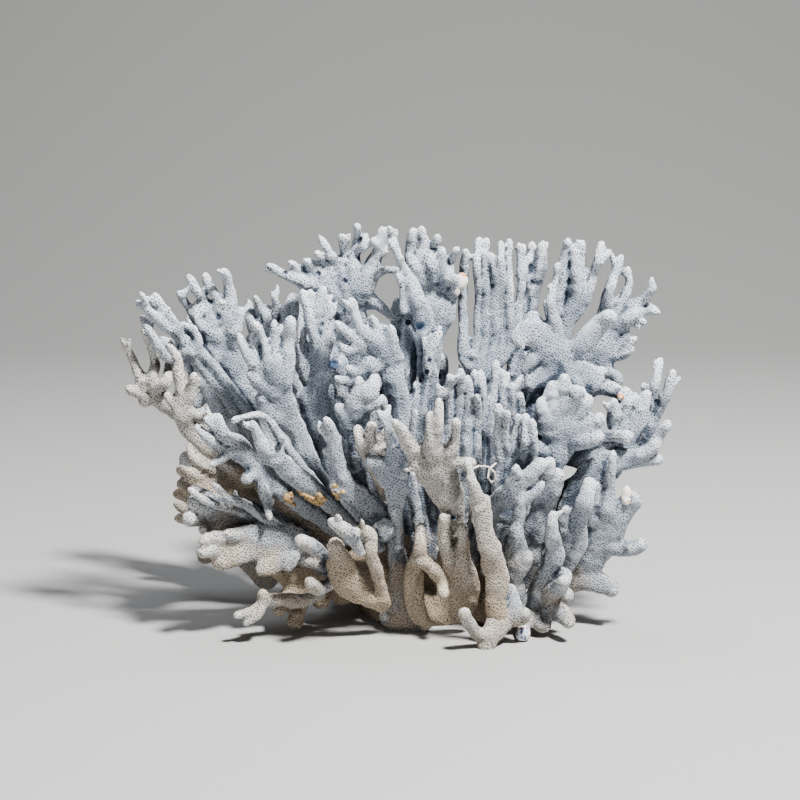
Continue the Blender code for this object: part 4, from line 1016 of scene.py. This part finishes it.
# Crown spray
# The spray at the top left of the crown, with many small curled fingers that boring worms have holed.
grow("crown_spray", [
    frond(10, -30, [(-18, 76, 11), (-26, 160, 11), (-32, 228, 12), (-40, 261, 14),
        [(-57, 275, 7.5), (-74, 281, 6.6), [(-80, 289, 4.2)], [(-87, 288, 5.4), (-101, 296, 3.7)]],
        [(-59, 281, 6), (-74, 289, 5), (-85, 298, 3.5)],
        [(-53, 282, 8), (-64, 292, 5.8), (-72, 300, 4.2)],
        [(-48, 284, 7), (-56, 297, 5.4), (-63, 306, 4)],
        [(-42, 286, 6), (-48, 298, 4.4), (-53, 307, 4.2), (-60, 316, 3.4)],
        [(-38, 286, 7), (-41, 302, 4.6), (-43, 319, 4)],
        [(-34, 290, 7), (-33, 306, 5.4),
            [(-26, 311, 4.6), (-24, 319, 3.4)], [(-31, 316, 4.4), (-31, 328, 4.4)]],
        [(-22, 286, 8), (-18, 299, 6.4),
            [(-13, 309, 5.6), [(-18, 316, 4)], [(-12, 325, 4.6)]], [(-8, 313, 4.6), (-2, 322, 3.7)]],
        [(-14, 290, 5), (2, 292, 3.5)], [(-26, 268, 9), (-15, 264, 5.2), (-3, 253, 3.7)],
        [(-54, 264, 8), (-62, 262, 5)]]),
], "pale_coral")

# White fan
# The palest fan, at the centre, which spreads to the left from a smooth trunk.
grow("white_fan", [
    frond(-40, -68, [(10, 84, 9), (6, 140, 9.5), (1, 184, 9.2), (0, 204, 9.6), (-8, 223, 13),
        [(-22, 234, 8), (-34, 243, 5.2), (-46, 255, 3.6)], [(-28, 235, 6), (-38, 233, 5), (-44, 239, 4)],
        [(-20, 220, 8), (-29, 213, 6), [(-38, 219, 4)], [(-36, 207, 4.8), (-47, 211, 4)]],
        [(-16, 240, 8), (-27, 249, 5.6), (-31, 257, 4.8), (-35, 272, 3.6)],
        [(-10, 239, 6), (-13, 249, 4.4), (-18, 259, 3.6)], [(-3, 237, 6), (-3, 250, 4.4)],
        [(3, 226, 6.6)]]),
], "pale_coral")

# Sloping blade
# A blade that slopes across the front of the crown, edge on.
grow("sloping_blade", [
    frond(-24, -46, [(22, 90, 8), (25, 170, 8), (24, 228, 8),
        [(22, 254, 8),
            [(15, 273, 8), (8, 289, 5.2), (2, 303, 4.4), (-2, 318, 3.4)],
            [(13, 262, 5), (6, 263, 4.8), (5, 276, 4.6), (1, 289, 4)]],
        [(14, 242, 4.8), (9, 252, 4)], [(28, 239, 5.4), (34, 248, 4)]]),
], "pale_coral")

# Crown block
# The thick smooth block at the middle of the crown, with short fingers on top.
grow("crown_block", [
    frond(14, -12, [(12, 72, 10), (22, 170, 9.4), (29, 232, 11), (31, 256, 17), (29, 276, 18),
        [(16, 292, 6.4), (12, 304, 6), (14, 323, 4.6)], [(20, 296, 6.4), (23, 309, 5), (20, 324, 4.2)],
        [(28, 296, 6), (30, 306, 4.8), (32, 318, 4)], [(36, 292, 6), (37, 307, 4.8)],
        [(42, 284, 6), (44, 296, 4.8), (48, 307, 4)], [(46, 270, 6), (49, 285, 4.4)]]),
    frond(16, 14, [(12, 76, 10), (8, 150, 11), (7, 206, 12),
        [(2, 236, 8), (1, 262, 5.4)], [(12, 240, 9), (14, 270, 6)]]),
], "pale_coral")

# Tall fingers
# The tall straight fingers right of the middle, which stand nearly free of each other.
grow("tall_fingers", [
    frond(10, 4, [(46, 70, 11), (62, 160, 12), (72, 204, 13),
        [(56, 220, 6), (55, 250, 4.8), (55, 280, 5), (56, 304, 4.2)],
        [(66, 226, 5.4), (67, 262, 4.2), (65, 294, 4.4), (68, 312, 3.8)],
        [(73, 228, 5.4), (74, 262, 4.8), (72, 286, 4.2), (74, 312, 4)],
        [(81, 230, 5.4), (82, 270, 4.6), (80, 288, 4.2), (77, 300, 3.8)],
        [(87, 228, 5.4), (87, 270, 4.2), (85, 296, 4), (84, 310, 3.6)],
        [(93, 228, 5.4), (93, 268, 4), (92, 290, 4), (91, 312, 3.5)],
        [(97, 230, 5.4), (101, 262, 4.4), (102, 290, 4.8), (99, 308, 3.8)]]),
], "pale_coral", fluted=True)

# Right crown hand
# A bright many-armed hand in front of the right crown, with deep hollows between its arms.
grow("right_crown_hand", [
    frond(-22, -52, [(76, 64, 10), (104, 146, 12), (118, 190, 14),
        [(124, 208, 16),
            [(124, 226, 13),
                [(116, 240, 12), [(104, 246, 9), (96, 238, 7)], [(107, 257, 7)]],
                [(112, 228, 8), (105, 219, 5.4), (101, 212, 4)],
                [(127, 246, 7), (122, 266, 5), (125, 283, 4.4), (128, 298, 3.6)],
                [(141, 229, 9), (151, 239, 9.4), (161, 251, 8.6), (170, 258, 7)]],
            [(146, 210, 13), (156, 206, 11)], [(114, 206, 9), (106, 203, 7.4)]],
        [(142, 200, 10), (151, 195, 7)]]),
], "pale_coral")

# Twin fingers
# Two fingers that grew side by side behind it.
grow("twin_fingers", [
    frond(26, 14, [(62, 70, 10), (92, 160, 11), (104, 230, 9), (109, 268, 8),
        [(112, 288, 6.4), (112, 308, 4.2)], [(117, 288, 6.4), (120, 309, 4.4)],
        [(104, 284, 5), (104, 298, 3.8)]]),
], "pale_coral", fluted=True)

# Right crown antlers
# Forked antlers that rise highest on the right.
grow("right_crown_antlers", [
    frond(12, -4, [(80, 68, 10), (114, 166, 11), (132, 234, 10),
        [(130, 262, 5.6), (134, 278, 5.4), (136, 301, 5), (138, 314, 4)],
        [(143, 262, 7), (146, 284, 6.4), (143, 308, 4)],
        [(147, 270, 6), (149, 292, 5.6), (150, 312, 4.2)],
        [(152, 262, 6), (159, 284, 5.2), (164, 297, 5.2), [(173, 304, 4)], [(167, 310, 4)]],
        [(150, 268, 5), (154, 285, 4)], [(126, 250, 6), (122, 262, 4)]]),
], "pale_coral", fluted=True)

# Far right crown
# The last antler of the crown, whose arms point out to the right.
grow("far_right_crown", [
    frond(22, 2, [(92, 64, 10), (138, 160, 12), (158, 202, 15),
        [(168, 222, 15.5),
            [(174, 240, 13),
                [(174, 258, 7), (174, 271, 5.6), (178, 284, 5), (183, 299, 4)],
                [(182, 254, 7), (187, 266, 5.4), (190, 276, 4.6), (189, 289, 4)],
                [(190, 256, 7), (202, 265, 5.4), (209, 276, 4)],
                [(193, 253, 6), (204, 256, 6.4), (214, 254, 4.4)], [(187, 247, 5), (202, 247, 4)]],
            [(184, 229, 5.4), [(190, 239, 3.6)], [(195, 232, 4)]], [(182, 217, 5.4), (192, 223, 4)]],
        [(176, 204, 6.4), (184, 195, 5.4)]]),
], "pale_coral")

# Middle fingers
# Rows of slim upright fingers fill the middle, in shadow between the crown and the front. The left row stands
# a little further back.
grow("middle_fingers_a", [
    frond(-40, -66, [(36, 56, 9), (44, 84, 12), (46, 100, 12),
        [(33, 122, 5.4), (34, 152, 5), (33, 184, 4.6), (33, 206, 3.7)],
        [(40, 126, 5.6), (42, 158, 4.8), (42, 190, 4.6), (42, 214, 4)],
        [(48, 128, 5.4), (49, 160, 5), (50, 190, 4.6), (51, 217, 4)],
        [(56, 124, 5.6), (56, 158, 5), (58, 188, 4.8), (56, 211, 4.4)],
        [(61, 118, 5), (64, 150, 4.6), (65, 178, 4.4), (64, 197, 3.8)]]),
    frond(-40, -50, [(32, 60, 8), (24, 110, 10), (19, 140, 11),
        [(9, 166, 5.4), (7, 192, 4.6), (4, 212, 3.8)], [(16, 172, 5.4), (16, 204, 4)],
        [(23, 172, 5.8), (25, 204, 5.4), (26, 226, 6), [(34, 246, 4)], [(22, 238, 4.4)]]]),
], "pale_coral", fluted=True)

# Middle fingers, behind
# The row of upright fingers behind and to the right of the first.
grow("middle_fingers_b", [
    frond(-32, -54, [(58, 54, 10), (68, 88, 12), (74, 104, 12),
        [(62, 128, 5.4), (63, 160, 5), (61, 190, 4.6), (62, 213, 3.8)],
        [(69, 132, 5.4), (70, 164, 5), (69, 192, 4.8), (68, 210, 4.4)],
        [(76, 134, 5.6), (76, 168, 5), (77, 196, 4.8), (79, 220, 4.6)],
        [(83, 130, 5.4), (83, 162, 5), (85, 190, 4.6), (84, 212, 4)],
        [(88, 126, 5.2), (90, 156, 4.8), (92, 184, 4.4), (91, 203, 3.8)],
        [(93, 122, 5.2), (97, 150, 4.6), (99, 180, 4.4), (98, 195, 3.7)]]),
], "pale_coral", fluted=True)

# Middle fingers, in front
# The shorter row in front of those.
grow("middle_fingers_c", [
    frond(-50, -80, [(76, 50, 8), (84, 82, 10), (90, 96, 11),
        [(80, 116, 5.2), (81, 144, 4.8), (80, 170, 4.4), (80, 192, 3.7)],
        [(87, 118, 5.2), (88, 146, 4.6), (86, 168, 4.2), (87, 187, 3.6)],
        [(94, 118, 5.2), (94, 144, 4.8), (94, 166, 4.4), (96, 182, 3.7)],
        [(100, 114, 5.2), (100, 140, 4.8), (101, 164, 4.4), (102, 182, 3.8)],
        [(104, 108, 5), (107, 136, 4.6), (108, 160, 4.4), (106, 179, 3.6)]]),
], "pale_coral", fluted=True)

# Scalloped plate
# A wide dotted plate right of the middle, whose edge is drawn up into scallops.
grow("scalloped_plate", [
    frond(-36, -62, [(86, 50, 10), (106, 106, 12), (122, 142, 14),
        [(132, 162, 17),
            [(116, 180, 8), (114, 193, 4.6)], [(123, 190, 8), (123, 206, 5)],
            [(131, 194, 8), (132, 212, 5)], [(139, 190, 8), (143, 203, 5)],
            [(147, 182, 8), (153, 193, 5)], [(153, 172, 8), (163, 179, 5)],
            [(148, 160, 8), (162, 164, 5)]],
        [(106, 158, 7), (103, 170, 4)]]),
], "pale_coral")

# Spotted blade
# A thin dotted blade left of the centre hand.
grow("spotted_blade", [
    frond(-52, -84, [(-14, 72, 7), (-26, 118, 7.4), (-33, 143, 7), (-32, 162, 7.4), (-32, 178, 11),
        [(-40, 184, 7), (-46, 191, 4.4)],
        [(-29, 192, 12.5),
            [(-20, 205, 7.4), (-16, 215, 4.6)], [(-29, 206, 6), (-29, 213, 4.2)],
            [(-17, 194, 6), (-13, 197, 4)]]]),
], "pale_coral")

# Fluted cups
# Small fluted cups that grew one above the other in the gap left of the hand.
grow("fluted_cups", [
    frond(-70, -110, [(2, 78, 5.8), (0, 104, 6), (0, 122, 9.4), (-2, 138, 13),
        [(-13, 148, 8), (-20, 151, 5)], [(0, 154, 9), (-3, 168, 5.4), (-7, 180, 4.2), (-13, 192, 3.6)],
        [(9, 150, 6), (13, 162, 4.2)]]),
], "pale_coral")

# Tan scallop
# A small tan plate with a scalloped rim.
grow("tan_scallop", [
    frond(-56, -94, [(-2, 84, 5.4), (-10, 122, 5.8), (-17, 144, 7.4), (-19, 158, 10),
        [(-27, 168, 6), (-29, 176, 4)], [(-20, 171, 6), (-19, 180, 4)], [(-12, 166, 6), (-7, 173, 4)],
        [(-9, 157, 6), (-5, 156, 4)], [(-28, 158, 5)]]),
], "stained_coral", stain=0.16)

# Slender pair
# Two slender shoots behind the cups.
grow("slender_pair", [
    frond(-50, -74, [(16, 66, 6.4), (17, 96, 5.4),
        [(14, 116, 4.8), (13, 135, 4)],
        [(4, 138, 5.2), [(-4, 170, 4.6), (-11, 198, 3.8)], [(12, 166, 4.4), (14, 186, 3.6)]]]),
], "pale_coral")

# Lower tubes
# Three short tan tubes that stand in front of the hollow.
grow("lower_tubes", [
    frond(-56, -100, [(52, 14, 8.4), (53, 30, 12),
        [(45, 54, 8.4), (40, 72, 6.4), (37, 88, 6), (37, 106, 5.2)],
        [(57, 48, 10), (53, 66, 7), (52, 82, 5.8), (51, 98, 5.2)]]),
], "stained_coral", stain=0.16)

# Inner fingers
# Dim fingers deep inside the cluster, behind the front fronds and in front of those of the back.
grow("inner_fingers", [
    frond(31, 30, [(22, 50, 24),
        [(-40, 110, 12), [(-58, 160, 9), (-68, 204, 5)], [(-44, 164, 8), (-48, 196, 5)]],
        [(-10, 120, 14), [(-22, 176, 9), (-26, 214, 5.4)], [(-4, 176, 9), (-6, 222, 5.4)]],
        [(40, 120, 14), [(36, 180, 9), (38, 214, 5.4)], [(54, 176, 8), (58, 202, 5)]],
        [(76, 110, 13), [(88, 166, 9), (94, 200, 5)], [(108, 158, 8), (122, 192, 5)]]]),
], "pale_coral", fluted=True, grid=COARSE_GRID)

# Sponge crust
# A gold-brown sponge that died and dried in the fork of the left front limb: a crumbly crust, grown over the
# coral, of grains two to four millimetres across.
SPONGE_LINE = ((-84, -72, 117), (-77, -76, 112), (-68, -79, 110), (-60, -82, 112), (-53, -85, 118),
               (-49, -88, 126))
SPONGE_GRAINS = 44           # between one point of the line and the next
SPONGE_STRAY = (2.2, 1.6, 3.2)      # how far the grains scatter round the line


def sponge_skin():
    """Gold-brown crumbs with dark gaps."""
    material, tree, skin, where = new_skin("sponge_crust", 0.92, 0.15)
    speckle = cloud(tree, where, 420, 3.0, 0.7)
    colour = blend_colour(tree, ramp(tree, speckle, 0.36, 0.56), (0.10, 0.055, 0.022), (0.50, 0.33, 0.155))
    tree.links.new(colour, skin.inputs["Base Color"])
    return material


lumps = new_lumps()
dice = random.Random("sponge")
for i in range(len(SPONGE_LINE) - 1):
    start, end = Vector(SPONGE_LINE[i]), Vector(SPONGE_LINE[i + 1])
    for _ in range(SPONGE_GRAINS):
        stray = Vector([dice.gauss(0, spread) for spread in SPONGE_STRAY])
        place = set_down(start.lerp(end, dice.random()) + stray, dice.uniform(-1.0, 1.2))
        grain_half = dice.uniform(1.0, 2.1)
        add_lump(lumps, place, Vector((0, 0, 1)), FRONT_FACE, (grain_half,) * 3, 0.5, 0.0)
crust = fused("sponge_crust", lumps, sponge_skin(), grid=0.6, swell=0.25, smoothing=1)
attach(crust, "root")

# Shell bits
# Six bits of broken sea shell that the coral grew around: chalky white, with rust-orange spots where worms
# bored them.
SHELL_BITS = (                # place, and half the width, depth and height
    ((53, -12, 281), (5.5, 3.2, 7.5)), ((60, -10, 284), (4.6, 3.0, 3.6)), ((50, -12, 273), (2.6, 2.2, 4.5)),
    ((180, -66, 118), (4.0, 2.4, 8.0)), ((182, -66, 111), (3.2, 2.2, 3.4)),
    ((179, -54, 193), (3.4, 2.6, 2.4)),
)


def shell_skin(name, rust):
    """Chalky shell; rust is how high the pattern must rise for a rusty spot."""
    material, tree, skin, where = new_skin(name, 0.55)
    layers = cloud(tree, where, 240, 2.0)
    colour = blend_colour(tree, ramp(tree, layers, 0.35, 0.65), (0.55, 0.50, 0.42), (0.82, 0.80, 0.75))
    rusty = ramp(tree, cloud(tree, where, 130, 2.0), rust, rust + 0.06)
    colour = blend_colour(tree, rusty, colour, (0.50, 0.16, 0.03))
    tree.links.new(colour, skin.inputs["Base Color"])
    return material


lumps = new_lumps()
for place, (wide, deep, high) in SHELL_BITS:
    spot = set_down(Vector(place), 0.0)
    add_lump(lumps, spot, Vector((0.15, 0, 1)), FRONT_FACE, (wide, high, deep), 0.5, 0.0)
shell = fused("shell_bits", lumps, shell_skin("bored_shell", rust=0.54), grid=0.8, swell=0.7, smoothing=1)
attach(shell, "root")

# Worm tube
# The white limy tube of a small worm, a little under two millimetres thick, looped in front of the middle
# fingers.
WORM_LINE = ((58, -108, 147), (64, -96, 147), (72, -86, 144), (77, -82, 139), (78, -80, 133), (75, -79, 130),
             (72, -79, 134), (73, -78, 141), (79, -74, 145))
WORM_HALF = 0.85             # half the thickness of the tube

lumps = new_lumps()
for i in range(len(WORM_LINE) - 1):
    start, end = Vector(WORM_LINE[i]), Vector(WORM_LINE[i + 1])
    for k in range(6):
        sizes = (WORM_HALF, 1.1, WORM_HALF)
        add_lump(lumps, start.lerp(end, k / 6), end - start, FRONT_FACE, sizes, 0.5, 0.0)
tube = fused("worm_tube", lumps, shell_skin("worm_tube", rust=0.9), grid=0.4, swell=0.1, smoothing=1)
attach(tube, "root")

# Broken end
# The stump of the right front foot, where the coral broke off: the blue inside shows, full of open tubes like
# a honeycomb, with rust stains.
BROKEN_LUMPS = (             # place, and half the width, depth and height
    ((101, -82, 8), (5.4, 5.0, 6.6)), ((103, -81, 5), (4.2, 4.4, 4.6)), ((98, -81, 6), (3.6, 4.0, 4.4)),
)


def broken_skin():
    """Pale walls round deep blue tubes, with rust."""
    material, tree, skin, where = new_skin("broken_coral", 0.8)
    cells = tree.nodes.new("ShaderNodeTexVoronoi")
    cells.inputs["Scale"].default_value = 420
    tree.links.new(where, cells.inputs["Vector"])
    walls = ramp(tree, cells.outputs["Distance"], 0.34, 0.5)
    colour = blend_colour(tree, walls, (0.035, 0.09, 0.26), (0.62, 0.66, 0.72))
    rust = ramp(tree, cloud(tree, where, 150, 2.0), 0.52, 0.58)
    colour = blend_colour(tree, rust, colour, (0.42, 0.15, 0.06))
    tree.links.new(colour, skin.inputs["Base Color"])
    return material


lumps = new_lumps()
for place, (wide, deep, high) in BROKEN_LUMPS:
    spot = set_down(Vector(place), 0.0)
    add_lump(lumps, spot, Vector((0, 0, 1)), FRONT_FACE, (wide, high, deep), 0.3, 0.0)
stump = fused("broken_end", lumps, broken_skin(), grid=0.8, swell=0.6, smoothing=1)
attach(stump, "root")

# Back
# The side that no photo shows. The same kinds of frond grow there, turned half way round the holdfast: each
# row gives the frond that is repeated, how wide and how tall it is against that one, and its depths.
BACK = {
    "back_left_fan": ("far_right_crown", 0.92, 0.86, 16, 66),
    "back_left_bracket": ("right_bracket", 0.84, 1.00, 36, 104),
    "back_left_plate": ("right_lower_plate", 0.96, 1.05, 34, 88),
    "back_centre_fingers": ("tall_fingers", 0.80, 0.84, 34, 76),
    "back_centre_plate": ("scalloped_plate", 0.62, 1.06, 46, 112),
    "back_right_fan": ("top_left_fan", 0.84, 0.78, 26, 66),
    "back_right_arm": ("left_front_arm", 0.96, 0.94, 44, 110),
    "back_right_plate": ("lobed_plate", 0.86, 0.92, 46, 100),
}


def turned(tree, width, height):
    """The same branch seen from behind, wider or taller."""
    shoots = [turned(shoot, width, height) for shoot in tree["shoots"]]
    return dict(tree, x=-tree["x"] * width, z=tree["z"] * height, dy=-tree["dy"], shoots=shoots)


for name, (like, width, height, root_y, tip_y) in BACK.items():
    behind = [dict(piece, root_y=root_y, tip_y=tip_y, tree=turned(piece["tree"], width, height),
                   face=(-piece["face"]).normalized()) for piece in DRAWN[like]]
    grow(name, behind, "pale_coral", grid=COARSE_GRID)

# Bored holes and broken places
# Small round holes that mussels and worms bored into living tips, and places where a finger broke off and the
# blue inside shows.
BORED, SNAPPED = 1.0, 0.4    # what is written on the points of a hole and of a break
WOUND_RIM = 1.25             # how far a wound reaches against its half width
WOUND_DEPTH = 0.9            # its depth against its half width
SHOT_FROM = -0.2             # metres in front of the middle, clear of every frond
WOUNDS = {                   # x, z and half width of each
    "crown_spray": ((-62, 290, 1.6, BORED), (-41, 284, 1.7, BORED), (-30, 302, 1.5, BORED),
                    (-88, 291, 1.5, BORED)),
    "centre_hand": ((44, 104, 1.8, BORED),),
    "sloping_blade": ((19, 249, 3.6, SNAPPED), (9, 252, 2.2, BORED)),
    "white_fan": ((-46, 222, 3.0, SNAPPED),),
    "left_column": ((-50, 218, 3.6, SNAPPED),),
    "middle_fingers_a": ((24, 214, 1.7, BORED), (26, 224, 1.5, BORED)),
}

for name, places in WOUNDS.items():
    piece = bpy.data.objects[name + "_skin"]
    broken = piece.data.attributes.new("broken", "FLOAT", "POINT")
    for x, z, half, kind in places:
        hit, spot, _, _ = piece.ray_cast(Vector((x * MM, SHOT_FROM, z * MM)), Vector((0, 1, 0)))
        if not hit:
            continue
        for number, vertex in enumerate(piece.data.vertices):
            gone = (vertex.co - spot).length / (half * MM)
            if gone < WOUND_RIM:
                broken.data[number].value = kind
                vertex.co.y += (WOUND_RIM - gone) * half * MM * WOUND_DEPTH
